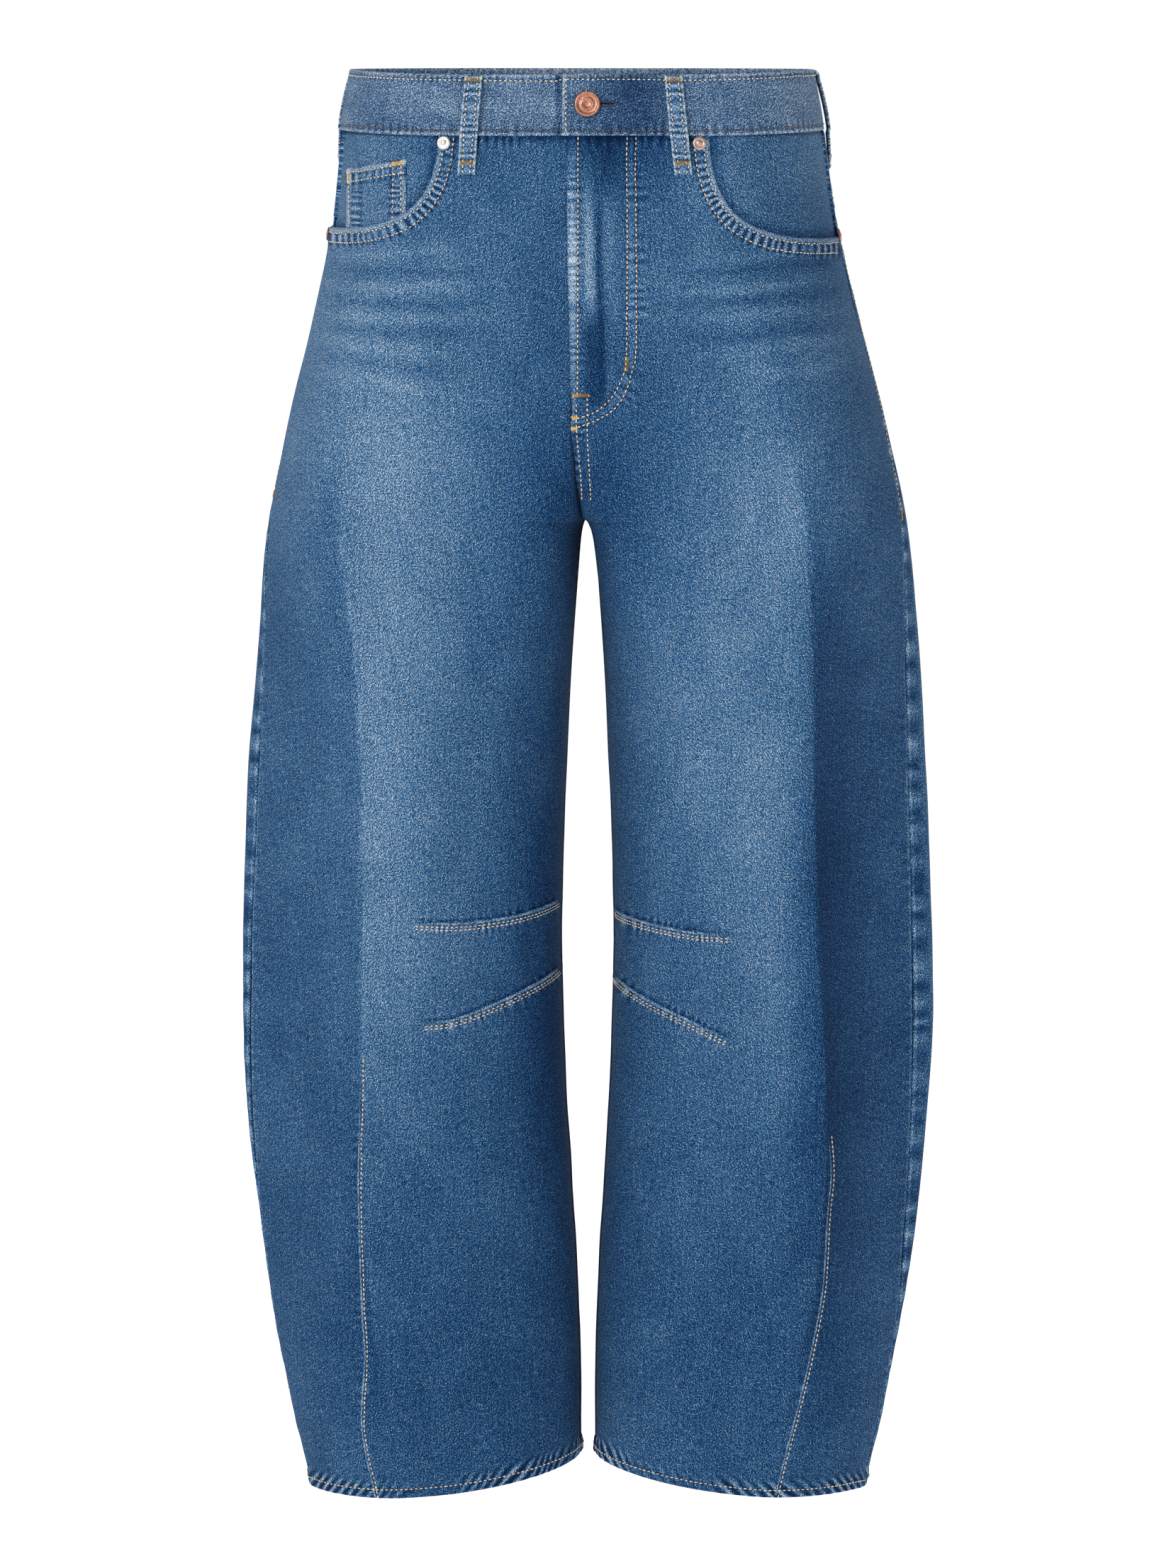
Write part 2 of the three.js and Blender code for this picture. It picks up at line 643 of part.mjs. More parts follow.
// The keyhole cut through the strip's upper end: round at the shank, then a slit toward the wearer's left.
function buttonholeCutter() {
  const round = new THREE.CylinderGeometry(buttonhole.radius, buttonhole.radius, 4, 20);
  const slit = new THREE.BoxGeometry(buttonhole.length, 4, buttonhole.width);
  slit.translate(buttonhole.length / 2, 0, 0);
  const cutter = geometryOf(solidOf(round).add(solidOf(slit)));
  const foot = band.stand - band.step + seamGap / 2;
  return stoodOn(cutter, "left", button.fromMiddle, button.z, foot + 2);
}

function rivetHead() {
  const { radius, thickness, nub } = rivet;
  return lathe(
    [
      [0, 0],
      [radius - 0.3, 0],
      [radius, 0.4],
      [radius - 0.9, thickness - 0.2],
      [nub + 0.7, thickness - 0.5],
      [nub, thickness],
      [0, thickness + 0.2],
    ],
    18,
  );
}

function material(color, roughness, metalness = 0) {
  return new THREE.MeshStandardMaterial({ color, roughness, metalness });
}

const denim = material(0x4a6f9c, 0.85);
const copper = material(0xb5704f, 0.35, 0.9);
const nickel = material(0xc9bcb0, 0.3, 0.9);
const tape = material(0x26344f, 0.9);

const jeans = new THREE.Group();
function add(name, geometry, look = denim) {
  const mesh = new THREE.Mesh(geometry, look);
  mesh.name = name;
  jeans.add(mesh);
}

for (const half of ["right", "left"]) {
  const loopAt = frontLoops[half];
  const besideSide = (row, z) => outline(half, z).side + sideLoopBehind;
  const sideRivetAt = outline(half, rivet.sideZ).seam - rivet.fromSide;
  add("front_" + half, front(half));
  add("back_" + half, backLayer(half, 0, -cloth));
  add("yoke_" + half, yokePanel(half));
  add("pocket_facing_" + half, pocketFacing(half));
  add("back_pocket_" + half, backPocketPatch(half));
  add("belt_loop_front_" + half, beltLoop(half, (row) => loopAt.top + (loopAt.foot - loopAt.top) * row));
  add("belt_loop_side_" + half, beltLoop(half, besideSide));
  const innerRivet = stoodOn(rivetHead(), half, mouths[half].rivet, rivet.innerZ, seamGap);
  add("rivet_inner_" + half, innerRivet, nickel);
  add("rivet_side_" + half, stoodOn(rivetHead(), half, sideRivetAt, rivet.sideZ, seamGap), copper);
}
add("belt_loop_back", beltLoop("left", (row, z) => outline("left", z).total));
add("coin_pocket", coinPocketPatch());
for (const dart of darts) add(dart.name, dartWelt(dart));
add("waistband", geometryOf(solidOf(waistband()).subtract(solidOf(buttonholeCutter()))));
add("zip", flyStrip(zip, behindFront), tape);
add("fly_shield", flyStrip(flyShield, behindFront - zip.thickness - seamGap));
add("button", stoodOn(buttonTop(), "left", button.fromMiddle, button.z, buttonStand), copper);

export default jeans;
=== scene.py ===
# %% [markdown]
# Wide-leg jeans, filled out as if worn, with nobody in them. The tailor's solids come first: they are
# the fixed frame, and every piece of cloth below is laid where they say. Blender measures in metres and a
# tailor in millimetres, so sizes here are millimetres and each mesh is scaled as it is made.
# %% Load the frame
import math

import bpy
import numpy as np
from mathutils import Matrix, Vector
from mathutils.bvhtree import BVHTree


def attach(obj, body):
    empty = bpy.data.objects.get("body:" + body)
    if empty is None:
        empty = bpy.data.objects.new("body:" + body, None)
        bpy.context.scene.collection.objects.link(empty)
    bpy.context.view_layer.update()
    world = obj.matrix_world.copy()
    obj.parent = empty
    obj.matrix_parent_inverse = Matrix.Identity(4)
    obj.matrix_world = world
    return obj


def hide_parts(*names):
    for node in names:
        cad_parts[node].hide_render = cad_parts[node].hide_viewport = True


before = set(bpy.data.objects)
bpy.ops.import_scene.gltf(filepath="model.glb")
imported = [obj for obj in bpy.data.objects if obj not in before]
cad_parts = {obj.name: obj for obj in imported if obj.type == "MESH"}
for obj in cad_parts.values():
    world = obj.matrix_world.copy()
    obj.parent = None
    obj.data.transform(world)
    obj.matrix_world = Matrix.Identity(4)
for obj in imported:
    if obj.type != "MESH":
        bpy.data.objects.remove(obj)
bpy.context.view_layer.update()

mm = 0.001


# %% [markdown]
# The camera stands level with the waist, 4.6 m in front, with a long lens, as for a product picture. It
# comes before the cloth, because a few pieces are placed by what shows from there.
# %% The camera
camera_place = (4.5, -4573.0, 37.0)
camera_target = (4.5, 0.0, -488.5)
camera_lens = 153.8
camera_sensor = 36.0


def add_camera():
    data = bpy.data.cameras.new("front_view")
    data.lens = camera_lens
    data.sensor_width = camera_sensor
    camera = bpy.data.objects.new("front_view", data)
    bpy.context.scene.collection.objects.link(camera)
    place = Vector(camera_place) * mm
    camera.location = place
    camera.rotation_euler = (Vector(camera_target) * mm - place).to_track_quat("-Z", "Y").to_euler()
    bpy.context.scene.camera = camera
    return camera


camera = add_camera()
print("camera at", [round(value, 2) for value in camera.location])

# %% [markdown]
# Sections. A garment is drawn from its measures at a few heights: how wide it is, how deep in front and
# behind, and where the crease and the outseam lie. A lofted surface through hand-drawn curves would do
# it too, but a table that is blended by a formula keeps every size readable, and any height can be asked.
# %% Measures from waist to hem
cloth_thickness = 1.4
band_height = 41.0
panel_top = -41.3
crotch = -302.0
hem = -976.0


def table(columns, *rows):
    """Named columns of numbers from a short table."""
    return dict(zip(columns.split(), np.array(rows, float).T))


sections = table(
    "z side inner front back seat side_depth",
    (0, 157, 0, -86, 88, 60, 2),
    (-41, 164, 0, -92, 96, 66, 2),
    (-110, 173, 0, -101, 116, 78, 2),
    (-170, 186.5, 0, -107, 125, 88, 2),
    (-235, 203, 0, -110, 122, 98, 0),
    (-302, 217.5, 0, -108, 108, 104, -2),
    (-345, 222.5, 2.8, -105, 100, 108, -3),
    (-420, 229, 7.8, -100, 91, 112, -4),
    (-500, 234.5, 11.4, -94, 84, 114, -5),
    (-600, 237.5, 13.2, -87, 77, 114, -6),
    (-680, 237, 11.4, -82, 72, 114, -6),
    (-760, 231, 6.8, -77, 68, 114, -5),
    (-850, 218.5, 2.4, -70, 63, 112, -3),
    (-925, 204.5, 0, -64, 59, 108, -1),
    (-976, 193, 0, -60, 57, 104, 0),
)

# The front crease on each leg: where it is, how round the cloth turns back past it, and how far the
# outseam lies before the side.
creases = {
    "right": table(
        "z crest round seam",
        (0, 62, 2.1, 0),
        (-118, 90, 2.1, 0),
        (-200, 130, 2, 3),
        (-290, 160, 1.6, 11),
        (-380, 157, 1.3, 15),
        (-490, 153, 1.12, 14),
        (-600, 153, 1.06, 9),
        (-700, 154, 1.06, 5),
        (-790, 152, 1.15, 1),
        (-870, 144, 1.4, 0),
        (-976, 118, 1.95, 0),
    ),
    "left": table(
        "z crest round seam",
        (0, 62, 2.1, 0),
        (-118, 90, 2.1, 0),
        (-200, 128, 2, 9),
        (-290, 152, 1.5, 17),
        (-380, 151, 1.1, 18),
        (-490, 153, 0.9, 18),
        (-600, 157, 0.85, 17),
        (-700, 162, 0.86, 15),
        (-790, 160, 0.95, 11),
        (-870, 146, 1.25, 7),
        (-976, 116, 1.85, 12),
    ),
}

# Long soft folds: half, face, x at the top and foot, z of the top and foot, width and depth.
folds = [
    ("right", "front", 60, 74, -215, -470, 13, -4),
    ("right", "front", 74, 60, -420, -760, 16, -3.5),
    ("right", "front", 112, 106, -300, -680, 18, 3),
    ("left", "front", 52, 62, -230, -460, 14, -3.5),
    ("left", "front", 96, 110, -260, -640, 18, 3),
    ("left", "front", 66, 84, -560, -860, 14, -2.5),
    ("right", "back", 96, 70, -235, -520, 16, -5),
    ("left", "back", 92, 76, -240, -500, 16, -5),
    ("right", "back", 138, 130, -330, -800, 18, 4),
    ("left", "back", 142, 128, -340, -820, 18, 4),
    ("right", "back", 84, 96, -540, -860, 14, -3),
    ("left", "back", 80, 92, -520, -880, 14, -3),
]
side_sign = {"right": -1, "left": 1}
other_half = {"right": "left", "left": "right"}
print("sections:", len(sections["z"]), "folds:", len(folds))

# %% [markdown]
# Between two rows of a table the value runs on a smooth curve, so no ring shows on the cloth. Small
# helpers for soft steps, soft bumps and seeded unevenness come here too, since every seam uses them.
# %% Smooth values
noise_length = 512
noise_side = 64


def along(rows, key, z):
    """A smooth value from a table whose rows run from top to bottom."""
    heights, values = rows["z"], rows[key]
    last = len(heights) - 1
    above = np.maximum(np.arange(last + 1) - 1, 0)
    below = np.minimum(np.arange(last + 1) + 1, last)
    slopes = (values[below] - values[above]) / (heights[below] - heights[above])
    z = np.clip(z, heights[-1], heights[0])
    i = np.clip(np.searchsorted(-heights, -z, side="right") - 1, 0, last - 1)
    step = heights[i + 1] - heights[i]
    t = (z - heights[i]) / step
    start = (2 * t**3 - 3 * t**2 + 1) * values[i] + (t**3 - 2 * t**2 + t) * step * slopes[i]
    end = (3 * t**2 - 2 * t**3) * values[i + 1] + (t**3 - t**2) * step * slopes[i + 1]
    return start + end


def eased(t):
    return t * t * (3 - 2 * t)


def smoothstep(x, low, high):
    return eased(np.clip((x - low) / (high - low), 0, 1))


def fading(x, low, high):
    return 1 - smoothstep(x, low, high)


def within(x, start, full, fade, end):
    """One between full and fade, falling softly to nothing at start and end."""
    return smoothstep(x, start, full) * fading(x, fade, end)


def hump(x, width):
    return np.exp(-((x / width) ** 2))


def wander(x, seed):
    """Seeded smooth noise along a line, from -1 to 1, with a period of about 1."""
    values = np.random.default_rng(seed).uniform(-1, 1, noise_length)
    cell = np.floor(x).astype(int)
    t = eased(x - cell)
    return values[cell % noise_length] * (1 - t) + values[(cell + 1) % noise_length] * t


def blend(values, i, j, down, across):
    """The value of a chart between its rows i and i + 1 and its columns j and j + 1."""
    upper = values[i, j] * (1 - across) + values[i, j + 1] * across
    lower = values[i + 1, j] * (1 - across) + values[i + 1, j + 1] * across
    return upper * (1 - down) + lower * down


def mottle(x, y, seed):
    """Seeded smooth noise over a surface, from -1 to 1, with a grain of about 1."""
    values = np.random.default_rng(seed).uniform(-1, 1, (noise_side, noise_side))
    values = np.pad(values, (0, 1), mode="wrap").T
    i, j = np.floor(x).astype(int), np.floor(y).astype(int)
    return blend(values, j % noise_side, i % noise_side, eased(y - j), eased(x - i))


def blurred(rows, reach, softness):
    """Rows blurred along their length; reach more values are given at both ends than come back."""
    weights = hump(np.arange(-reach, reach + 1), softness * math.sqrt(2))
    weights /= weights.sum()
    width = rows.shape[1] - 2 * reach
    return sum(weight * rows[:, k : k + width] for k, weight in enumerate(weights))


print("hip half width at -150:", round(float(along(sections, "side", -150.0)), 1))

# %% [markdown]
# Half a section runs from the middle of the front, round the side, to the middle of the back, in four
# power curves. All heights are worked out at once and kept as a chart, and a point of the cloth is then
# named by its distance along the chart and its height, the way a cutter names a place on a pattern.
# %% The chart of each half
rise_start = -190.0
rise_power = 2.7
rise_dimple = 3.0
arch_width = 5.0
arch_height = 6.0
half_gap = 0.15
rise_round = 5.0
leg_round = 2.5
leg_round_from = -430.0
back_round = 2.0
crease_softness = 4.5
crease_reach = 16
chart_columns = 801
quarter_steps = 40
near_crotch = np.array([0.01, 0.04, 0.1, 0.25, 0.5, 0.75, 1.5, 2.5])


def rise_share(z):
    t = np.clip((rise_start - z) / (rise_start - crotch), 0, 1)
    return (1 - t**rise_power) ** (1 / rise_power)


def inner_edge(z):
    arch = arch_width * (1 - np.exp(np.minimum(z - crotch, 0) / arch_height))
    return np.where(z >= crotch, half_gap, half_gap + arch + along(sections, "inner", z))


def quarter(start, end, power, starts_across):
    angle = np.linspace(0, math.pi / 2, quarter_steps + 1)[None]
    rising = np.sin(angle) ** (2 / power[:, None])
    falling = 1 - np.cos(angle) ** (2 / power[:, None])
    share_x, share_y = (rising, falling) if starts_across else (falling, rising)
    x = start[0][:, None] + (end[0] - start[0])[:, None] * share_x
    y = start[1][:, None] + (end[1] - start[1])[:, None] * share_y
    return np.stack([x, y])


def fold_depth(half, face, x, z):
    depth = np.zeros_like(x)
    for fold_half, fold_face, x_top, x_foot, top, foot, width, height in folds:
        if (fold_half, fold_face) == (half, face):
            t = np.clip((top - z) / (top - foot), 0, 1)
            depth += height * np.sin(math.pi * t) ** 2 * hump(x - x_top - (x_foot - x_top) * t, width)
    return depth


def make_chart(half):
    levels = np.concatenate([np.arange(0, hem - 1, -1), crotch + near_crotch, crotch - near_crotch])
    levels = np.unique(levels)[::-1]
    at = {name: along(sections, name, levels) for name in sections}
    fold = {name: along(creases[half], name, levels) for name in creases[half]}
    joint = at["side_depth"] + 8
    dimple = rise_dimple * smoothstep(-levels, 60, 260)
    share = rise_share(levels)
    inner = inner_edge(levels)
    turn = leg_round + (rise_round - leg_round) * smoothstep(levels, leg_round_from, crotch)
    start = (inner, joint + (at["front"] + dimple - joint) * share)
    end = (inner, joint + (at["back"] - dimple - joint) * share)
    crest, side, seat = (fold["crest"], at["front"]), (at["side"], at["side_depth"]), (at["seat"], at["back"])
    parts = [
        quarter(start, crest, turn, False),
        quarter(crest, side, fold["round"], True)[:, :, 1:],
        quarter(side, seat, np.full_like(levels, back_round), False)[:, :, 1:],
        quarter(seat, end, turn, True)[:, :, 1:],
    ]
    x, y = np.concatenate(parts, axis=2)
    height = np.broadcast_to(levels[:, None], x.shape)
    depth = at["side_depth"][:, None]
    front_share = np.clip((y - depth) / (at["front"][:, None] - depth), 0, 1)
    back_share = np.clip((y - depth) / (at["back"][:, None] - depth), 0, 1)
    y = y - fold_depth(half, "front", x, height) * front_share * (y < depth)
    y = y + fold_depth(half, "back", x, height) * back_share * (y >= depth)
    steps = np.hypot(np.diff(x, axis=1), np.diff(y, axis=1))
    lengths = np.concatenate([np.zeros((len(levels), 1)), np.cumsum(steps, axis=1)], axis=1)
    chart = {
        "z": levels,
        "total": lengths[:, -1],
        "crest": lengths[:, quarter_steps],
        "side": lengths[:, 2 * quarter_steps],
        "seat": lengths[:, 3 * quarter_steps],
        "crest_x": fold["crest"],
        "seat_x": at["seat"],
    }
    chart["seam"] = chart["side"] - fold["seam"]
    shares = np.linspace(0, 1, chart_columns)
    evened = []
    for values in (x, y):
        rows = [np.interp(shares * line[-1], line, row) for line, row in zip(lengths, values)]
        evened.append(softened(np.array(rows)))
    chart["x"], chart["y"] = evened
    return chart


def softened(rows):
    """Rounds the sharp turn at the crease and leaves both ends where they are."""
    before = 2 * rows[:, :1] - rows[:, crease_reach:0:-1]
    after = 2 * rows[:, -1:] - rows[:, -2 : -crease_reach - 2 : -1]
    return blurred(np.concatenate([before, rows, after], axis=1), crease_reach, crease_softness)


charts = {half: make_chart(half) for half in side_sign}
print("round the thigh:", round(float(charts["left"]["total"][340]), 1), "mm")

# %% [markdown]
# A distance past either end crosses to the other half above the crotch, and comes round the leg below
# it. The section is then turned a little with the hips, swayed, and tilted at the hem.
# %% From the chart to the garment
torso_yaw = math.radians(5)
leg_sway = 4.5
hem_tilt = 11.0
hem_lift = 9.0
waist_dip = 3.0
# How far the cloth is felt to each side for its normal, and how a place is searched for from the front.
feel = 3.0
past_middle = -14.0
edge_rounds, halvings = 4, 22


def measure(half, key, z):
    chart = charts[half]
    return np.interp(-np.asarray(z, float), -chart["z"], chart[key])


def chart_point(half, share, z):
    chart = charts[half]
    levels = chart["z"]
    k = np.clip(np.searchsorted(-levels, -z, side="right") - 1, 0, len(levels) - 2)
    t = np.clip((levels[k] - z) / (levels[k] - levels[k + 1]), 0, 1)
    column = np.clip(share, 0, 1) * (chart_columns - 1)
    j = np.minimum(column.astype(int), chart_columns - 2)
    return [blend(chart[axis], k, j, t, column - j) for axis in "xy"]


def section_point(half, distance, z):
    total = measure(half, "total", z)
    before, after = distance < 0, distance > total
    in_leg = z < crotch
    wrapped = np.where(before, total + distance, np.where(after, distance - total, distance))
    x, y = chart_point(half, np.where(in_leg, wrapped, distance) / total, z)
    if np.any((before | after) & ~in_leg):
        far_total = measure(other_half[half], "total", z)
        far = np.where(before, -distance, far_total - (distance - total))
        far_x, far_y = chart_point(other_half[half], far / far_total, z)
        crossed = (before | after) & ~in_leg
        x, y = np.where(crossed, -far_x, x), np.where(crossed, far_y, y)
    return x, y


def surface(half, distance, z):
    """Points of the cloth, in millimetres, from distances round the half and heights."""
    distance, z = np.broadcast_arrays(np.asarray(distance, float), np.asarray(z, float))
    x, y = section_point(half, distance, z)
    yaw = torso_yaw * fading(-z, 240, 420)
    sway = leg_sway * smoothstep(-z, 0, -crotch)
    signed = x * side_sign[half]
    side = along(sections, "side", z)
    middle = (side + inner_edge(z)) / 2
    aside = (x - middle) / (side - middle)
    tilt = (hem_tilt * aside - hem_lift * aside**2) * smoothstep(-z, 560, -hem)
    dip = waist_dip * fading(-z, 0, 170) * np.clip(-y / 90, 0, 1) ** 2
    turned_x = signed * np.cos(yaw) + y * np.sin(yaw)
    turned_y = y * np.cos(yaw) - signed * np.sin(yaw)
    return np.stack([turned_x + sway, turned_y, z - tilt - dip], axis=-1)


def unit(vectors):
    return vectors / np.maximum(np.linalg.norm(vectors, axis=-1, keepdims=True), 1e-9)


def outward(half, distance, z):
    """The direction in which the cloth faces."""
    distance, z = np.broadcast_arrays(np.asarray(distance, float), np.asarray(z, float))
    across = surface(half, distance + feel, z) - surface(half, distance - feel, z)
    above = np.minimum(z + feel, np.where(z < crotch, crotch, 0))
    below = np.maximum(z - feel, np.where(z < crotch, hem, crotch + 0.5))
    share = distance / measure(half, "total", z)

    def shared(height):
        inside = share * measure(half, "total", height)
        return surface(half, np.where(distance < 0, distance, inside), height)

    normal = unit(np.cross(across, shared(above) - shared(below)))
    return -normal if half == "right" else normal


def on_front(half, x, z):
    """The distance and height of the place on a front that lies at x and z seen from the front."""
    x, z = np.broadcast_arrays(np.asarray(x, float), np.asarray(z, float))
    sign = side_sign[half]
    height = z.copy()
    for _ in range(edge_rounds):
        low = np.full(x.shape, past_middle)
        high = measure(half, "side", height)
        for _ in range(halvings):
            middle = (low + high) / 2
            short = surface(half, middle, height)[..., 0] * sign < x * sign
            low, high = np.where(short, middle, low), np.where(short, high, middle)
        height = height + z - surface(half, low, height)[..., 2]
    return low, height


print("front waist point:", surface("left", 0.0, 0.0).round(1))

# %% [markdown]
# Seams are drawn as lines. Some run at a fixed distance from an edge; others, such as the fly's curved
# rows, the pocket mouths and the darts, are drawn freely, seen from the front. A flowing curve through a
# few points is enough for each of them.
# %% Lines seen from the front
line_step = 1.5


def flowing(points):
    """A smooth line through a few points, with even steps."""
    points = np.array(points, float)
    padded = np.vstack([2 * points[0] - points[1], points, 2 * points[-1] - points[-2]])
    t = np.linspace(0, 1, 24, endpoint=False)[:, None]
    parts = []
    for a, b, c, d in zip(padded, padded[1:], padded[2:], padded[3:]):
        parts.append(
            0.5 * (2 * b + (c - a) * t + (2 * a - 5 * b + 4 * c - d) * t**2 + (3 * b - a - 3 * c + d) * t**3)
        )
    line = np.vstack(parts + [points[-1:]])
    return evenly(line, line_step)


def run_along(line):
    """How far along a line each of its points lies."""
    return np.concatenate([[0], np.cumsum(np.linalg.norm(np.diff(line, axis=0), axis=1))])


def in_steps(line, count):
    """The same line in a number of even steps. Values past the third, such as normals, come along."""
    lengths = run_along(line[:, :3])
    places = np.linspace(0, lengths[-1], count + 1)
    return np.stack([np.interp(places, lengths, values) for values in line.T], axis=1)


def evenly(line, step):
    line = np.array(line, float)
    return in_steps(line, max(int(round(run_along(line[:, :3])[-1] / step)), 2))


def beside(line, reach):
    """The same line moved sideways, to its left as it runs."""
    way = unit(np.gradient(line, axis=0))
    return line + reach * np.stack([-way[:, 1], way[:, 0]], axis=1)


def near_line(line, x, z):
    """Signed distance from a line, positive on its left, and the length along it of the nearest point."""
    shape = x.shape
    spots = np.stack([x.ravel(), z.ravel()], axis=1)
    lengths = run_along(line)
    best = np.full(len(spots), 1e9)
    signed = np.full(len(spots), 1e9)
    reached = np.zeros(len(spots))
    for a, b, start in zip(line, line[1:], lengths):
        way = b - a
        size = np.linalg.norm(way)
        t = np.clip((spots - a) @ way / size**2, 0, 1)
        gap = spots - a - t[:, None] * way
        distance = np.linalg.norm(gap, axis=1)
        closer = distance < best
        turn = np.sign(way[0] * gap[:, 1] - way[1] * gap[:, 0])
        best = np.where(closer, distance, best)
        signed = np.where(closer, distance * turn, signed)
        reached = np.where(closer, start + t * size, reached)
    return signed.reshape(shape), reached.reshape(shape)


def swept(knots, t):
    """A curve that leaves its first knot toward the second and comes to the last from the third."""
    first, second, third, last = knots
    early = (1 - t) ** 3 * first + 3 * t * (1 - t) ** 2 * second
    return early + 3 * t**2 * (1 - t) * third + t**3 * last


mouth_sizes = {"right": (-95.5, -172, -106), "left": (85.5, 174, -112.5)}


def mouth_line(half):
    """The scooped pocket mouth, from the waistband to the side."""
    corner, side, bottom = mouth_sizes[half]
    sign = side_sign[half]
    first, last = [corner, panel_top - 4], [side, bottom]
    knots = np.array([first, [corner + 2.5 * sign, bottom + 18], [corner + 23 * sign, bottom], last])
    scoop = swept(knots, np.linspace(0, 1, 60)[:, None])
    return evenly(np.vstack([[corner, panel_top + 3], scoop]), line_step)


mouths = {half: mouth_line(half) for half in side_sign}
fly_row = flowing([(-2, -42), (-2, -120), (-2, -214)])
fly_bend = [(27, -204), (23, -212), (18, -219), (10, -226), (-5.5, -232)]
fly_inner_row = flowing([(29.5, -42), (30, -120), (29.9, -188), *fly_bend])
fly_bend = [(34.7, -196), (31.9, -207), (27, -218), (20, -226), (12, -231), (-4.3, -237.6)]
fly_outer_row = flowing([(36, -42), (36.8, -120), (36.8, -184), *fly_bend])
rise_rows = [
    flowing([(-2.4, -222), (-1.2, -250), (0.9, -285)]),
    flowing([(4.2, -218), (4.6, -250), (6.7, -285)]),
]
knee_darts = {
    "upper_right": [(-16.5, -566), (-36.5, -570), (-59, -573), (-82, -574), (-111, -572.5)],
    "lower_right": [(-16.5, -613.5), (-43.8, -625), (-66.9, -634), (-88.5, -640.5), (-105.4, -642)],
    "upper_left": [(23, -574), (47.9, -577.5), (73.4, -581), (98.3, -582)],
    "lower_left": [(24, -620), (36.5, -626.5), (56.7, -635.5), (73.5, -642.5), (98.5, -653)],
}
hem_dart_x = {
    "right": (-141.5, -148.5, -150.9, -148.3, -149.7, -150.9, -151.7, -149.5),
    "left": (133, 143, 151.2, 158.3, 165.4, 168, 170, 167.9),
}
hem_dart_z = {
    "right": (-975, -944, -919, -877, -844, -794, -745, -668),
    "left": (-973, -932.5, -900, -867, -826.6, -777.5, -748.6, -722),
}
knee_darts = {name: flowing(points) for name, points in knee_darts.items()}
hem_darts = {half: flowing(list(zip(hem_dart_x[half], hem_dart_z[half]))) for half in side_sign}
print("pocket mouth length:", round(line_step * len(mouths["left"])), "mm")

# %% [markdown]
# Denim shows where it has been: seams pucker in the wash, the high spots rub pale and the valleys stay
# navy. A painted texture could hold that. Here one function gives each face its low relief and its tone
# together, so a ridge is always raised and pale at once, from any side. The finest ridges are narrower
# than the faces of the mesh, so the mesh only counts them, and the material draws them.
# %% Puckers and rubbed edges


def puckers(reach, run, span, pitch, seed, slant=0.0):
    """Ridges across a seam, from -1 to 1, that fade away over span (start, full, end)."""
    start, full, end = span
    fade = within(reach, start - 1, start + 0.5, full, end)
    drift = 0.42 * wander(run / (2.3 * pitch), seed) + 0.25 * wander(run / (0.9 * pitch), seed + 1)
    strength = 0.6 + 0.4 * wander(run / (1.7 * pitch), seed + 2)
    return fade * strength * np.cos(2 * math.pi * ((run + slant * reach) / pitch + drift))


class Shade:
    """The tone of the cloth, and the fine ridges that its material draws across the nearest seam."""

    __array_ufunc__ = None  # so an array on the left of a plus leaves the sum to the Shade

    def __init__(self, tone, count=0.0, strength=0.0, near=0.0):
        self.tone = tone
        self.count = count
        self.strength = strength
        self.near = near

    def __add__(self, other):
        if not isinstance(other, Shade):
            return Shade(self.tone + other, self.count, self.strength, self.near)
        nearer = other.near > self.near
        count = np.where(nearer, other.count, self.count)
        strength = np.where(nearer, other.strength, self.strength)
        return Shade(self.tone + other.tone, count, strength, np.maximum(self.near, other.near))

    def __mul__(self, factor):
        near = self.near * np.abs(factor)
        return Shade(self.tone * factor, self.count, self.strength * factor, near)

    def __sub__(self, other):
        return self + -1 * other

    __radd__ = __add__
    __rmul__ = __mul__


def ridges(reach, run, span, pitch, seed, slant=0.0):
    """Fine ridges for the material to draw: the mesh holds their count and strength only."""
    start, full, end = span
    fade = within(reach, start - 1, start + 0.5, full, end)
    strength = fade * np.clip(0.6 + 0.7 * wander(run / (1.9 * pitch), seed + 2), 0.1, 1)
    outside = np.maximum(np.maximum(start - reach, reach - end), 0)
    count = (run + slant * reach) / pitch + 0.8 * wander(run / (2.7 * pitch), seed)
    return Shade(0 * fade, count, strength, 1 / (1 + outside))


first_row, second_row, fold_pitch = 4.4, 11.0, 4.6
hem_row, hem_pitch, hem_slant = 8.5, 8.5, 0.9


def double_fold(reach, run, seed, thick=1.0):
    """A turned and twice stitched edge: rolled lip, ridge between the rows, puckers on it."""
    on_fold = (first_row, second_row - 2, second_row + 4)
    lip = hump(reach - 2.2, 2.2)
    rows = hump(reach - first_row, 0.9) + hump(reach - second_row, 1.0)
    height = thick * (0.75 * fading(reach, second_row - 1, second_row + 2) + 0.25 * lip)
    height += -0.4 * rows + 0.3 * puckers(reach, run, on_fold, fold_pitch, seed) - 1.1 * hump(reach, 0.8)
    tone = 0.26 * lip + 0.03 * hump(reach - 7.7, 2.8) - 0.17 * rows
    return height, tone + 0.36 * ridges(reach, run, on_fold, fold_pitch, seed)


def seam_side(reach, run, seed, pitch=6.0, raised=0.0, pale=0.1, rope=0.1):
    """The edge of a panel at a plain seam: it dips into the seam and is rubbed along the lip."""
    height = raised * fading(reach, 5, 8) - 1.0 * hump(reach, 1.0)
    tone = pale * hump(reach - 1.6, 1.3) - 0.1 * hump(reach, 0.9)
    return height, tone + rope * ridges(reach, run, (0.4, 4, 12), pitch, seed)


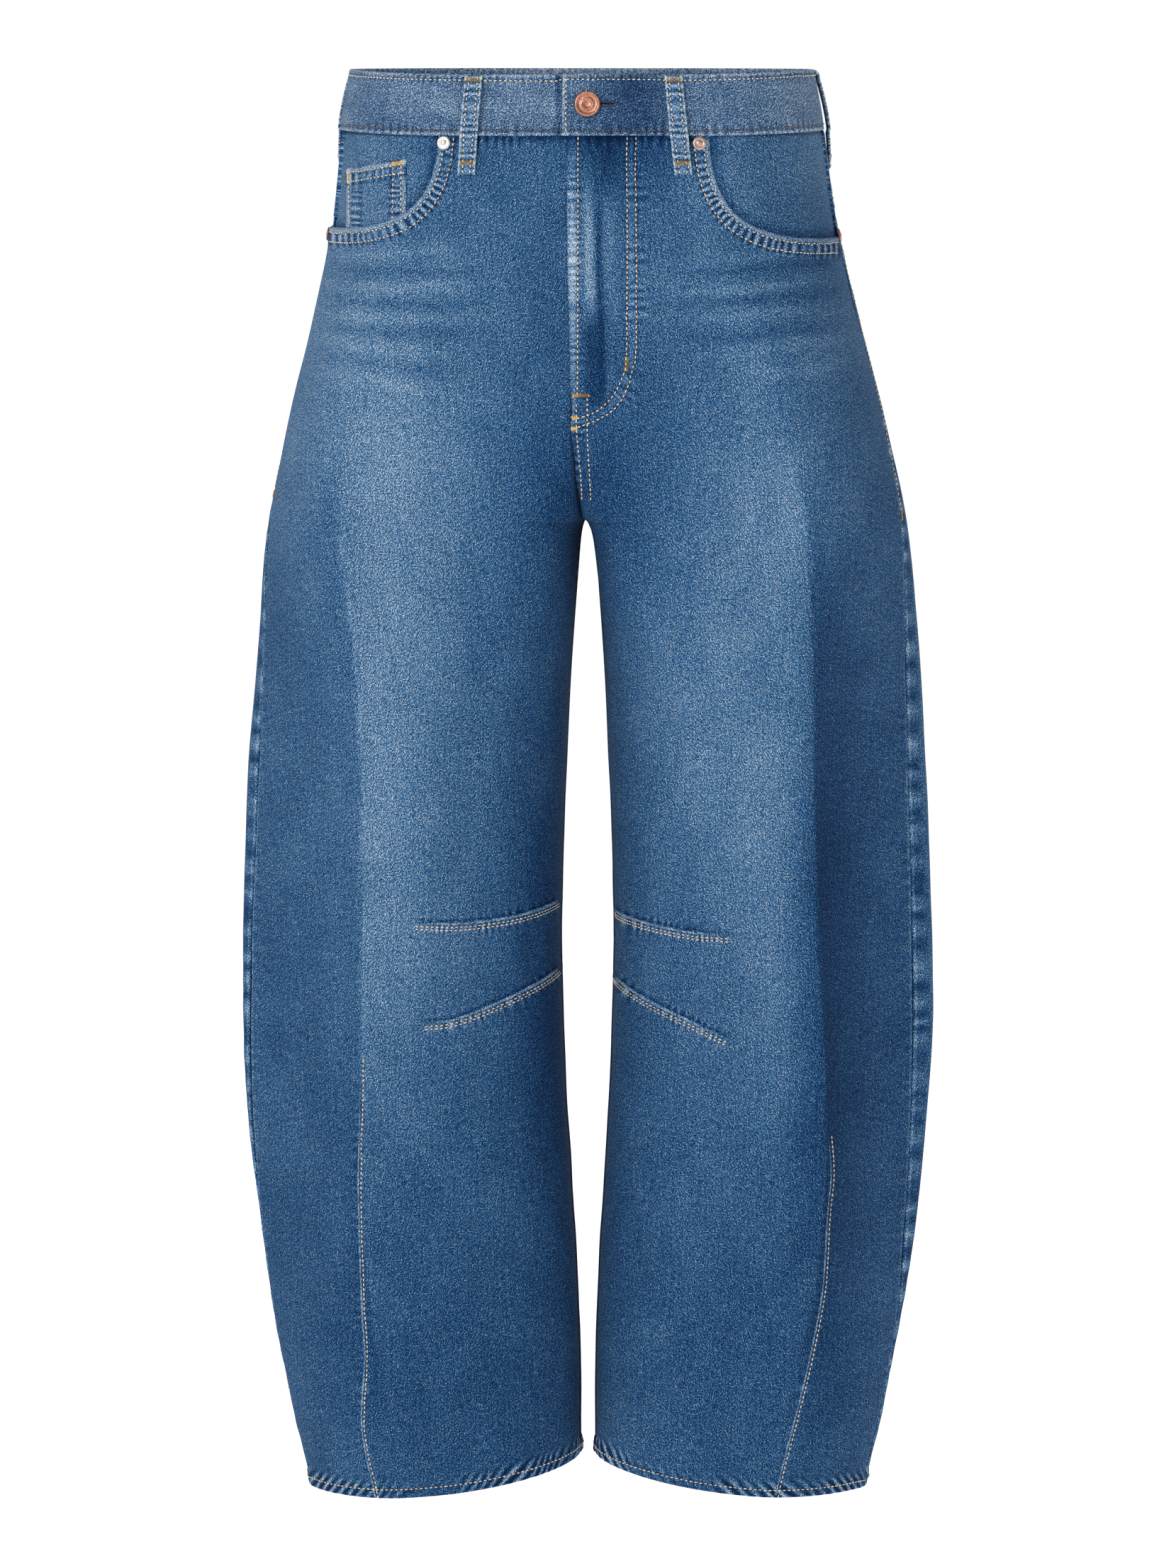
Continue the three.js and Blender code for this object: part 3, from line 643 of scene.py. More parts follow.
def turned_hem(up, run, seed):
    """The hem, folded up twice and stitched: roping slants across it, with a pale strip above."""
    row = hem_row
    rope = puckers(up, run, (-2, row - 1.0, row + 2), hem_pitch, seed, hem_slant)
    height = 1.1 * fading(up, row + 0.5, row + 3) - 0.4 * hump(up - row, 1.0)
    height += 0.35 * rope - 0.5 * hump(up, 0.9)
    tone = 0.06 * hump(up - row - 2.6, 2.2) - 0.1 * hump(up - row, 0.9) + 0.2 * hump(up - 0.6, 1.3)
    return height, tone + 0.5 * ridges(up, run, (-2, row, row + 10), hem_pitch, seed, hem_slant)


print("pucker at a lip:", round(float(double_fold(np.array(2.0), np.array(10.0), 1)[1].tone), 2))

# %% [markdown]
# The large tones of each leg. The pale thighs and darker lower legs are the indigo's fading. The darker side
# panels and inner thighs are partly fading and partly painted shade where the cloth turns from the light,
# and the darkest places, the left leg's side recess and the strip under the left front's waistband, are
# painted shadow. Each leg's tone is given at a few heights and a few distances from the middle, then
# blended. These numbers weren't judged by eye: most began as the picture's green level, measured at such
# places and turned into tones, and were then corrected against renders. The whiskers that fan out from the
# hips are separate lines.
# %% Faded indigo and painted shade
base_tone = 0.47
wash_reaches = (20, 45, 75, 105, 135, 165, 200)
wash_columns = "z by_middle inner_thigh inner_front front crease side outseam"
wash_blur = 8.0
wash_reach = 24
wash_width = 260
wash_and_shade_tables = {
    "right": table(
        wash_columns,
        (-60, 0.34, 0.38, 0.34, 0.42, 0.45, 0.45, 0.45),
        (-125, 0.34, 0.41, 0.46, 0.43, 0.49, 0.50, 0.49),
        (-200, 0.30, 0.37, 0.45, 0.51, 0.56, 0.53, 0.50),
        (-280, 0.17, 0.30, 0.48, 0.56, 0.60, 0.46, 0.44),
        (-380, 0.25, 0.35, 0.42, 0.51, 0.57, 0.38, 0.34),
        (-480, 0.20, 0.27, 0.44, 0.48, 0.56, 0.37, 0.34),
        (-600, 0.06, 0.23, 0.40, 0.43, 0.53, 0.35, 0.33),
        (-680, 0.08, 0.26, 0.35, 0.39, 0.44, 0.33, 0.32),
        (-800, 0.17, 0.27, 0.28, 0.29, 0.29, 0.28, 0.28),
        (-960, 0.20, 0.22, 0.25, 0.26, 0.29, 0.28, 0.28),
    ),
    "left": table(
        wash_columns,
        # The first row is painted shadow under the waistband.
        (-46, 0.12, 0.14, 0.40, 0.44, 0.42, 0.48, 0.44),
        (-70, 0.26, 0.24, 0.46, 0.46, 0.42, 0.48, 0.44),
        (-125, 0.40, 0.43, 0.44, 0.38, 0.37, 0.34, 0.36),
        (-200, 0.35, 0.38, 0.44, 0.46, 0.43, 0.41, 0.34),
        (-280, 0.20, 0.34, 0.45, 0.51, 0.55, 0.40, 0.31),
        # From here down, the side column is painted shadow in the recess behind the crease.
        (-380, 0.26, 0.46, 0.52, 0.51, 0.54, 0.20, 0.30),
        (-480, 0.26, 0.40, 0.47, 0.52, 0.54, 0.10, 0.27),
        (-600, 0.24, 0.34, 0.37, 0.46, 0.53, 0.04, 0.29),
        (-680, 0.22, 0.34, 0.38, 0.42, 0.50, 0.05, 0.25),
        (-800, 0.22, 0.31, 0.30, 0.30, 0.32, 0.13, 0.28),
        (-960, 0.30, 0.32, 0.31, 0.33, 0.34, 0.28, 0.33),
    ),
}


def wash_and_shade_map(half):
    """The tone of a leg at every millimetre down and across, blurred so no column shows."""
    levels = np.arange(0, hem - 1, -1)
    columns = [along(wash_and_shade_tables[half], name, levels) for name in wash_columns.split()[1:]]
    spread = [np.interp(np.arange(wash_width), wash_reaches, row) for row in np.array(columns).T]
    padded = np.pad(spread, ((0, 0), (wash_reach, wash_reach)), mode="edge")
    return blurred(padded, wash_reach, wash_blur)


wash_and_shade_maps = {half: wash_and_shade_map(half) for half in wash_and_shade_tables}

# Half, x and z at the hip, x and z at the inner end, width, strength.
whiskers = [
    ("right", -168, -126, -70, -119, 3.5, 0.09),
    ("right", -170, -136, -55, -132, 3.0, -0.08),
    ("right", -172, -145, -60, -144, 3.2, 0.11),
    ("right", -173, -153, -52, -154, 2.8, -0.09),
    ("right", -174, -162, -66, -166, 3.6, 0.11),
    ("right", -175, -171, -58, -177, 3.0, -0.09),
    ("right", -177, -180, -70, -189, 3.8, 0.10),
    ("right", -179, -191, -74, -202, 3.4, -0.07),
    ("right", -182, -202, -80, -215, 4.0, 0.08),
    ("left", 172, -119, 66, -126, 3.4, 0.08),
    ("left", 173, -129, 55, -136, 3.0, -0.09),
    ("left", 174, -139, 58, -146, 3.4, 0.11),
    ("left", 176, -148, 50, -155, 2.8, -0.10),
    ("left", 177, -158, 56, -165, 3.4, 0.10),
    ("left", 179, -169, 54, -177, 3.0, -0.08),
    ("left", 181, -180, 66, -189, 3.8, 0.10),
    ("left", 184, -194, 74, -204, 4.0, 0.07),
]


def wash_and_shade(half, x, z):
    chart = wash_and_shade_maps[half]
    down = np.clip(-z, 0, chart.shape[0] - 2)
    across = np.clip(np.abs(x), 0, chart.shape[1] - 2)
    i, j = down.astype(int), across.astype(int)
    return blend(chart, i, j, down - i, across - j)


def whisker_marks(half, x, z):
    marks = np.zeros(x.shape)
    for n, (place_half, x_hip, z_hip, x_end, z_end, width, strength) in enumerate(whiskers):
        if place_half == half:
            t = (x - x_hip) / (x_end - x_hip)
            middle = z_hip + (z_end - z_hip) * t + 2.5 * wander(t * 3, 40 + n)
            marks += strength * within(t, -0.12, 0.25, 0.55, 1.08) * hump(z - middle, width)
    return marks


print("whiskers:", len(whiskers), "wash rows:", len(wash_and_shade_tables["right"]["z"]))

# %% [markdown]
# Now the fronts. Each feature adds its relief and its tone: the seam under the waistband, the pocket
# mouth, the fly, the crotch, the inseam, the outseam, the crease, the darts and the hem. Under the
# waistband, on the fly's folds and across the crease, part of that tone is painted light and shade.
# %% The form of a front
fly_overlap = 2.0
fly_bottom = -236.0
fly_lift = 1.7
fly_reach = 30.0


def fly_form(x, z, distance):
    """The fly on the left front: a pale folded edge, soft upright folds, and a seam below it."""
    shown = smoothstep(z, fly_bottom - 14, fly_bottom + 6)
    edge = distance + fly_overlap
    lift = fly_lift * fading(distance, 1, fly_reach) * smoothstep(z, fly_bottom - 26, fly_bottom)
    strip = hump(edge - 3.6, 4.0) * (0.35 + 0.65 * hump(z + 122, 48))
    sway = 2 * wander(z / 60, 3)
    upper, lower = within(-z, 54, 96, 140, 180), within(-z, 148, 176, 214, 228)
    inside, head = within(-z, 84, 100, 200, 226), fading(-z, 66, 92)
    light_fold, dark_fold = hump(x - 6 + sway, 3.8) * upper, hump(x - 8, 7) * lower
    fold_line = hump(x - 12.8 + sway, 2.0) * inside
    side_fold = hump(x - 19, 4.5) * upper
    # The fly's folds: crests paler, fold lines and hollows darker, partly rubbed and partly painted light and
    # shade, with a darker patch near the top.
    fold_wear_and_shade = 0.32 * light_fold - 0.24 * dark_fold - 0.22 * fold_line + 0.1 * side_fold
    fold_wear_and_shade -= 0.15 * hump(x - 18, 7) * head
    upright = 0.8 * light_fold - 0.6 * dark_fold - 1.0 * fold_line + 0.5 * side_fold
    row = hump(x + 2, 1.1)
    ticks = ridges(edge, z, (0.5, 8, 12), 5.5, 61)
    height = lift + shown * (-0.9 * hump(edge, 0.9) - 0.25 * row) + upright
    tone = shown * (0.48 * strip - 0.12 * row + 0.2 * ticks) + fold_wear_and_shade
    inner, _ = near_line(fly_inner_row, x, z)
    outer, run = near_line(fly_outer_row, x, z)
    for reach in (inner, outer):
        height -= 0.3 * hump(reach, 1.2)
        tone -= 0.12 * hump(reach, 1.3)
    between = hump((inner + outer) / 2, 3.2)
    height += 0.25 * between
    tone += 0.09 * between + 0.16 * ridges(np.abs(outer), run, (0, 4, 9), 7, 71)
    return height, tone


def rise_form(half, z, from_inner):
    """The curved seam below the fly. The wearer's left side lies on top, with two rows."""
    shown = within(z, crotch - 6, crotch + 1, fly_bottom + 2, fly_bottom + 14)
    if half == "right":
        height, tone = seam_side(from_inner, z, 81, pitch=6.5, pale=0.02, rope=0.05)
        return height * shown, (tone - 0.1 * hump(from_inner, 3)) * shown
    ticks = ridges(from_inner, z, (1, 9, 16), 6.0, 83)
    height = 0.9 * fading(from_inner, 9, 13) - 0.9 * hump(from_inner, 0.9)
    tone = 0.24 * hump(from_inner - 1.5, 1.6) + 0.28 * ticks
    return height * shown, tone * shown


def dart_form(half, x, z):
    """The knee darts and the hem dart: a ridge above each row, and puckers on both sides of it."""
    height = np.zeros(x.shape)
    tone = Shade(np.zeros(x.shape))
    for n, (name, line) in enumerate(knee_darts.items()):
        if not name.endswith(half):
            continue
        reach, run = near_line(line, x, z)
        reach = reach * side_sign[half]
        length = line_step * len(line)
        inner = fading(run, 0.35 * length, length)
        inside = within(run, -1, 2, length - 3, length - 0.5)
        below = ridges(-reach, run, (0.5, 2, 12), 5.2, 90 + n)
        above = ridges(reach, run, (0.5, 1.5, 7), 5.4, 95 + n)
        height += inside * (0.5 * hump(reach + 1, 2.5) - 0.6 * hump(reach - 1.9, 1.1))
        tone += inside * (0.5 + 0.5 * inner) * (0.42 * below + 0.28 * above)
        tone += inside * (0.08 * hump(reach + 3.6, 2.2) - 0.24 * hump(reach - 1.8, 1.0))
    between = hump(z + 606, 26) * hump(x * side_sign[half] - 42, 26)
    soft = 0.8 * wander(x / 9, 101) * between
    reach, run = near_line(hem_darts[half], x, z)
    length = line_step * len(hem_darts[half])
    inside = within(run, -1, 6, length - 60, length - 1)
    step = np.tanh(reach * side_sign[half] / 1.2)
    height += soft + inside * (0.35 * step * hump(reach, 7) - 0.3 * hump(reach, 1.0))
    ticks = ridges(np.abs(reach), run, (0.5, 2, 6), 6.5, 103)
    tone += 0.06 * soft + inside * (0.07 * hump(reach + 1.6, 1.5) - 0.08 * hump(reach, 0.8) + 0.16 * ticks)
    return height, tone


outseam_pitch = 21.0
# How strong the painted light and shade are on either side of each leg's crease.
crease_light_and_shade = {"right": 0.055, "left": 0.065}


def leg_edges(half, face, distance, z, from_inner, seed):
    """The inseam, the outseam and the hem, which fronts and backs share."""
    to_seam = distance - measure(half, "seam", z)
    from_outer = -to_seam if face == "front" else to_seam
    in_leg = fading(z, crotch - 3, crotch + 1)
    run = np.broadcast_to(z, from_inner.shape)
    raised = 0.9 if face == "front" else 0.2
    height, tone = seam_side(from_inner, run, seed, pitch=6.0, raised=raised, pale=0.04, rope=0.24)
    if face == "front":
        groove = 0.38 * smoothstep(-z, 440, 560)
        tone += 0.16 * hump(from_inner - 10.5, 1.6) - groove * hump(from_inner - 7, 2.6)
    height, tone = height * in_leg, tone * in_leg
    side_height, side_tone = seam_side(from_outer, run, seed + 7, pitch=9.0, pale=0.22, rope=0.07)
    if face == "back":
        blotches = puckers(from_outer, run, (-1, 8, 15), outseam_pitch, seed + 8)
        side_height = side_height + 0.25 * blotches
        # Pale blotches from the outseam's puckers, and painted shade on the back beside the outseam, where it
        # shows at the leg's outline.
        side_tone += 0.28 * blotches - 0.12 * fading(from_outer, 10, 18)
    height += side_height
    tone += side_tone
    hem_height, hem_tone = turned_hem(z - hem, distance, seed + 15)
    low = fading(z, hem + 20, hem + 30)
    return height + hem_height * low, tone + hem_tone * low


def front_form(half, distance, z, from_inner):
    """Relief in millimetres and tone from 0 to 1 over a front."""
    spots = surface(half, distance, z)
    x, at_z = spots[..., 0], spots[..., 2]
    tone = Shade(wash_and_shade(half, x, at_z) + whisker_marks(half, x, at_z))
    height = 0.7 * mottle(x / 55, at_z / 80, 7) + 0.35 * mottle(x / 22, at_z / 31, 8)
    height += 2.0 * whisker_marks(half, x, at_z)
    drop = panel_top - z
    waist = (drop, distance, (-1, 2, 12), 6.5, 21 + side_sign[half])
    height += 0.3 * puckers(*waist) - 0.5 * hump(drop, 1.5)
    # Puckers along the waist seam, and painted shadow under the waistband along the front's top edge.
    tone += 0.26 * ridges(*waist) - 0.3 * hump(drop, 3.2)
    reach, run = near_line(mouths[half], x, at_z)
    mouth_height, mouth_tone = double_fold(np.abs(reach), run, 31 + side_sign[half])
    close = fading(np.abs(reach), 24, 30)
    parts = [(mouth_height * close, mouth_tone * close)]
    parts.append(leg_edges(half, "front", distance, z, from_inner, 200 + side_sign[half]))
    if half == "left":
        parts.append(fly_form(x, at_z, distance))
    parts += [rise_form(half, z, from_inner), dart_form(half, x, at_z)]
    for part_height, part_tone in parts:
        height += part_height
        tone += part_tone
    # Painted light on the front of the crease, painted shade on the side that turns away past it, and a pale
    # line on the crest, partly rubbed and partly painted highlight.
    past = distance - measure(half, "crest", z)
    creased = within(-z, 200, 330, 820, 930)
    contrast = crease_light_and_shade[half]
    tone += creased * contrast * within(past, -24, -2, -1.5, 1.5)
    tone -= creased * contrast * within(past, -1.5, 1.5, 3, 24)
    tone += creased * 0.05 * hump(past + 0.5, 1.6)
    tone += 0.03 * mottle(x / 14, at_z / 20, 11) + 0.03 * mottle(x / 40, at_z / 60, 12)
    return height, tone


place = (np.array([3.0, 80.0]), np.array([-100.0, -400.0]), np.array([5.0, 80.0]))
check_height, check_shade = front_form("left", *place)
print("relief:", check_height.round(2), "tone:", check_shade.tone.round(2))

# %% [markdown]
# The back is made in the same way: the seat is faded, the backs of the knees are honeycombed, and the
# seams round off the same. What the picture doesn't show is kept plainer, with the usual marks of wear.
# %% The form of a back
yoke_side, yoke_centre = -84.0, -112.0
pocket_inner, pocket_width, pocket_taper = 38.0, 134.0, 8.0
pocket_below, pocket_height, pocket_point = 16.0, 138.0, 20.0

# x from the middle, z, half width, half height, strength.
seat_places = [
    (88, -205, 52, 75, 0.17),
    (100, -330, 50, 90, 0.10),
    (110, -470, 46, 120, 0.07),
    (22, -340, 20, 90, -0.20),
    (26, -540, 22, 140, -0.16),
    (90, -600, 60, 40, -0.05),
    (90, -860, 90, 150, -0.15),
    (165, -250, 26, 160, -0.08),
]


def yoke_width(half):
    return measure(half, "total", yoke_centre) - measure(half, "seam", yoke_centre)


def yoke_seam(half, from_centre):
    return yoke_centre + (yoke_side - yoke_centre) * np.clip(from_centre / yoke_width(half), 0, 1)


def across_back(half, share, z):
    """Distances at some shares of the way from the outseam to the middle of the back."""
    start = measure(half, "seam", z)
    return start + (measure(half, "total", z) - start) * share


def pocket_edge(half, from_centre, z):
    """How far a place on the back lies outside a pocket's outline, in millimetres."""
    top = yoke_seam(half, from_centre) - pocket_below
    down = (top - z) / pocket_height
    middle = from_centre - pocket_inner - pocket_width / 2
    sides = np.abs(middle) - pocket_width / 2 + pocket_taper * np.clip(down, 0, 1)
    foot = top - pocket_height - pocket_point * (1 - np.abs(middle) / (pocket_width / 2)) - z
    return np.maximum(np.maximum(sides, foot), z - top)


def back_form(half, distance, z, from_inner):
    spots = surface(half, distance, z)
    x, at_z = spots[..., 0] * side_sign[half], spots[..., 2]
    tone = Shade(np.full(x.shape, base_tone - 0.03))
    for at_x, place_z, wide, high, strength in seat_places:
        tone += strength * hump(x - at_x, wide) * hump(at_z - place_z, high)
    height = 0.8 * mottle(x / 55, at_z / 80, 17 + side_sign[half]) + 0.4 * mottle(x / 22, at_z / 31, 18)
    combs = hump(at_z + 590, 60) * hump(x - 110, 80) * wander(at_z / 16 + 0.4 * wander(x / 30, 24), 25)
    height += 1.1 * combs
    tone += 0.08 * combs
    from_centre = measure(half, "total", z) - distance
    drop = yoke_seam(half, from_centre) - z
    above_crotch = smoothstep(z, crotch - 2, crotch + 2)
    seat_height, seat_tone = seam_side(from_inner, z, 331 + side_sign[half], pitch=7, raised=0.6, pale=0.12)
    parts = [
        leg_edges(half, "back", distance, z, from_inner, 300 + side_sign[half]),
        (seat_height * above_crotch, seat_tone * above_crotch),
        seam_side(np.abs(drop), distance, 341, pitch=6, pale=0.08),
    ]
    for part_height, part_tone in parts:
        height += part_height
        tone += part_tone
    outside = pocket_edge(half, from_centre, z)
    tone += 0.09 * hump(outside - 2.5, 2.5) * (outside > 0)
    tone += 0.03 * mottle(x / 14, at_z / 20, 26) + 0.03 * mottle(x / 40, at_z / 60, 27)
    return height, tone


seat_shade = back_form("left", *np.array([[420.0], [-220.0], [60.0]]))[1]
print("seat tone:", seat_shade.tone.round(2))

# %% [markdown]
# Materials. Denim is a twill: indigo warp over a pale weft, so it shows fine slanting lines, upright
# streaks where the yarn is thick, and a speckle. An image would fix its scale and repeat. Noise and waves
# on the cloth's own UV map have no edge and follow the cloth. Each effect is a group, built once.
# %% Node helpers


def set_inputs(tree, node, inputs):
    """Links the inputs that are given as sockets, and sets the others."""
    for socket, value in inputs.items():
        if isinstance(value, bpy.types.NodeSocket):
            tree.links.new(value, node.inputs[socket])
        else:
            node.inputs[socket].default_value = value


def add_node(tree, kind, inputs=None, **settings):
    node = tree.nodes.new(kind)
    for name, value in settings.items():
        setattr(node, name, value)
    set_inputs(tree, node, inputs or {})
    return node


def new_group(name, kind, inputs, outputs):
    """A node group with named sockets, and its input and output nodes."""
    group = bpy.data.node_groups.new(name, kind)
    for label, socket_type, value in inputs:
        socket = group.interface.new_socket(label, in_out="INPUT", socket_type=socket_type)
        if value is not None:
            socket.default_value = value
    for label, socket_type in outputs:
        group.interface.new_socket(label, in_out="OUTPUT", socket_type=socket_type)
    return group, group.nodes.new("NodeGroupInput"), group.nodes.new("NodeGroupOutput")


def maths(tree, operation, *values):
    return add_node(tree, "ShaderNodeMath", dict(enumerate(values)), operation=operation).outputs[0]


def bumped(tree, height, strength, distance):
    inputs = {"Height": height, "Strength": strength, "Distance": distance}
    return add_node(tree, "ShaderNodeBump", inputs).outputs["Normal"]


def srgb(red, green, blue):
    """A colour read from a picture, as the linear value that a node wants."""
    scaled = [value / 255 for value in (red, green, blue)]
    linear = [((c + 0.055) / 1.055) ** 2.4 if c > 0.04045 else c / 12.92 for c in scaled]
    return (*linear, 1.0)


print("indigo in linear light:", [round(value, 3) for value in srgb(70, 105, 145)[:3]])

# %% [markdown]
# The weave group turns places on the cloth, in millimetres, into one value that is light on the weft and
# dark on the warp. It mixes five scales: twill lines, their unevenness, speckle, streaks and clouds.
# %% The twill weave
weave_map = "cloth"
twill_pitch = 1.05
wave_per_turn = 20 / (2 * math.pi)


def make_weave():
    inputs = [
        ("Lean", "NodeSocketFloat", math.radians(63)),
        ("Line Strength", "NodeSocketFloat", 0.26),
        ("Speckle Strength", "NodeSocketFloat", 0.9),
        ("Streak Strength", "NodeSocketFloat", 0.085),
        ("Cloud Strength", "NodeSocketFloat", 0.035),
    ]
    outputs = [("Shade", "NodeSocketFloat"), ("Relief", "NodeSocketFloat")]
    group, given, result = new_group("Twill weave", "ShaderNodeTree", inputs, outputs)
    place = add_node(group, "ShaderNodeUVMap", uv_map=weave_map).outputs[0]
    scaled = add_node(group, "ShaderNodeMapping", {"Vector": place, "Scale": (1000, 1000, 1000)}).outputs[0]
    turn = add_node(group, "ShaderNodeCombineXYZ", {"Z": given.outputs["Lean"]}).outputs[0]
    leaned = add_node(group, "ShaderNodeMapping", {"Vector": scaled, "Rotation": turn}).outputs[0]

    def grain(vector, across, length, detail):
        """Noise about zero, with grains of a width and a length in millimetres."""
        sizes = {"Vector": vector, "Scale": (1 / across, 1 / length, 1)}
        sized = add_node(group, "ShaderNodeMapping", sizes).outputs[0]
        inputs = {"Vector": sized, "Scale": 1.0, "Detail": detail, "Roughness": 0.5}
        noise = add_node(group, "ShaderNodeTexNoise", inputs, noise_dimensions="2D").outputs["Fac"]
        return maths(group, "SUBTRACT", noise, 0.5)

    bands = {"Vector": leaned, "Scale": 1 / (twill_pitch * wave_per_turn)}
    bands.update({"Distortion": 1.4, "Detail Scale": 1.2})
    wave = add_node(group, "ShaderNodeTexWave", bands, wave_type="BANDS", bands_direction="Y")
    lines = maths(group, "SUBTRACT", wave.outputs["Fac"], 0.5)
    uneven = grain(leaned, 5.0, 0.62, 1.0)
    speckle = grain(scaled, 0.75, 0.95, 2.0)
    streaks = grain(scaled, 1.3, 34.0, 2.0)
    clouds = grain(scaled, 26.0, 40.0, 2.0)
    twill = maths(group, "ADD", lines, maths(group, "MULTIPLY", uneven, 2.4))
    shade = maths(group, "MULTIPLY", twill, given.outputs["Line Strength"])
    for value, strength in ((speckle, "Speckle"), (streaks, "Streak"), (clouds, "Cloud")):
        part = maths(group, "MULTIPLY", value, given.outputs[f"{strength} Strength"])
        shade = maths(group, "ADD", shade, maths(group, "MULTIPLY", part, 2.2))
    group.links.new(shade, result.inputs["Shade"])
    relief = maths(group, "ADD", twill, maths(group, "MULTIPLY", speckle, 1.6))
    group.links.new(relief, result.inputs["Relief"])
    return group


def make_ridges():
    """Draws the fine ridges across seams from the count and strength kept on the mesh."""
    group, _, result = new_group("Fine ridges", "ShaderNodeTree", [], [("Ridge", "NodeSocketFloat")])
    count = add_node(group, "ShaderNodeAttribute", attribute_name="ridge_count").outputs["Fac"]
    strength = add_node(group, "ShaderNodeAttribute", attribute_name="ridge_strength").outputs["Fac"]
    turned = maths(group, "MULTIPLY", count, 2 * math.pi)
    wave = maths(group, "COSINE", turned)
    group.links.new(maths(group, "MULTIPLY", wave, strength), result.inputs["Ridge"])
    return group


weave = make_weave()
ridge_group = make_ridges()
print("weave group:", len(weave.nodes), "nodes")

# %% [markdown]
# Indigo fades through known colours, from navy through mid blue to a grey white, so a ramp turns the
# painted tone and the weave's shade into the cloth's colour. The inside of the cloth shows the weft, so
# it uses the same weave on a paler, greyer ramp.
# %% Denim
indigo = [
    (0.0, srgb(3, 26, 58)),
    (0.2, srgb(13, 54, 98)),
    (0.42, srgb(39, 87, 132)),
    (0.62, srgb(76, 120, 157)),
    (0.82, srgb(130, 159, 184)),
    (1.0, srgb(204, 213, 222)),
]
greyed = [
    (0.0, srgb(12, 29, 58)),
    (0.2, srgb(28, 57, 96)),
    (0.42, srgb(51, 88, 129)),
    (0.62, srgb(89, 124, 157)),
    (0.82, srgb(148, 168, 188)),
    (1.0, srgb(208, 214, 222)),
]
weft = [
    (0.0, srgb(70, 84, 104)),
    (0.5, srgb(138, 152, 170)),
    (1.0, srgb(206, 212, 218)),
]


def new_material(name):
    material = bpy.data.materials.new(name)
    material.use_nodes = True
    tree = material.node_tree
    return material, tree, tree.nodes["Principled BSDF"]


def add_group(tree, group, inputs):
    node = add_node(tree, "ShaderNodeGroup", node_tree=group)
    set_inputs(tree, node, inputs)
    return node


def ramp(tree, stops, value):
    node = add_node(tree, "ShaderNodeValToRGB", {"Fac": value})
    for place, _ in stops[1:-1]:
        node.color_ramp.elements.new(place)
    for element, (place, colour) in zip(node.color_ramp.elements, stops):
        element.position = place
        element.color = colour
    return node.outputs["Color"]


ridge_relief = 8.0


def denim(name, stops, lean=63.0, lift=0.0, line_strength=0.26, tone_attribute=True):
    material, tree, shader = new_material(name)
    sizes = {"Lean": math.radians(lean), "Line Strength": line_strength}
    woven = add_group(tree, weave, sizes)
    shade, relief = woven.outputs["Shade"], woven.outputs["Relief"]
    if tone_attribute:
        tone = add_node(tree, "ShaderNodeAttribute", attribute_name="tone").outputs["Fac"]
        ridge = add_group(tree, ridge_group, {}).outputs["Ridge"]
        shade = maths(tree, "ADD", maths(tree, "ADD", shade, tone), ridge)
        relief = maths(tree, "ADD", relief, maths(tree, "MULTIPLY", ridge, ridge_relief))
    finish = {
        "Base Color": ramp(tree, stops, maths(tree, "ADD", shade, lift)),
        "Normal": bumped(tree, relief, 0.5, 0.0005),
        "Roughness": 0.88,
        "Specular IOR Level": 0.1,
        "Sheen Weight": 0.03,
        "Sheen Roughness": 0.5,
        "Sheen Tint": srgb(170, 190, 215),
    }
    set_inputs(tree, shader, finish)
    return material


denim_face = denim("denim_face", indigo)
denim_inside = denim("denim_inside", weft, lean=-63.0, lift=0.5, tone_attribute=False)
denim_cross = denim("denim_cross_grain", greyed, lean=-30.0)
denim_loop = denim("denim_loop", indigo, lean=45.0, lift=0.06, line_strength=0.28)
print("denims:", [material.name for material in (denim_face, denim_inside, denim_cross, denim_loop)])

# %% [markdown]
# Thread and metal. Sewing thread is twisted and slightly glossy; the button is copper worn to bare
# metal on its rim, and the pocket rivets are nickel over copper. One wear group serves both metals.
# %% Thread and metal


def object_noise(tree, scale, detail):
    place = add_node(tree, "ShaderNodeTexCoord").outputs["Object"]
    inputs = {"Vector": place, "Scale": scale, "Detail": detail}
    return add_node(tree, "ShaderNodeTexNoise", inputs).outputs["Fac"]


def make_wear():
    inputs = [("Scale", "NodeSocketFloat", 900.0), ("Spread", "NodeSocketFloat", 0.5)]
    outputs = [("Mask", "NodeSocketFloat"), ("Relief", "NodeSocketFloat")]
    group, given, result = new_group("Metal wear", "ShaderNodeTree", inputs, outputs)
    noise = object_noise(group, given.outputs["Scale"], 3.0)
    spread = given.outputs["Spread"]
    inputs = {"Value": noise, "From Min": spread, "From Max": maths(group, "ADD", spread, 0.25)}
    mask = add_node(group, "ShaderNodeMapRange", inputs).outputs[0]
    group.links.new(mask, result.inputs["Mask"])
    group.links.new(noise, result.inputs["Relief"])
    return group


wear = make_wear()
# A Mix node has sockets for numbers, vectors and colours: these are its factor, its two colours and
# their mix.
colour_sockets = (0, 6, 7)
colour_result = 2


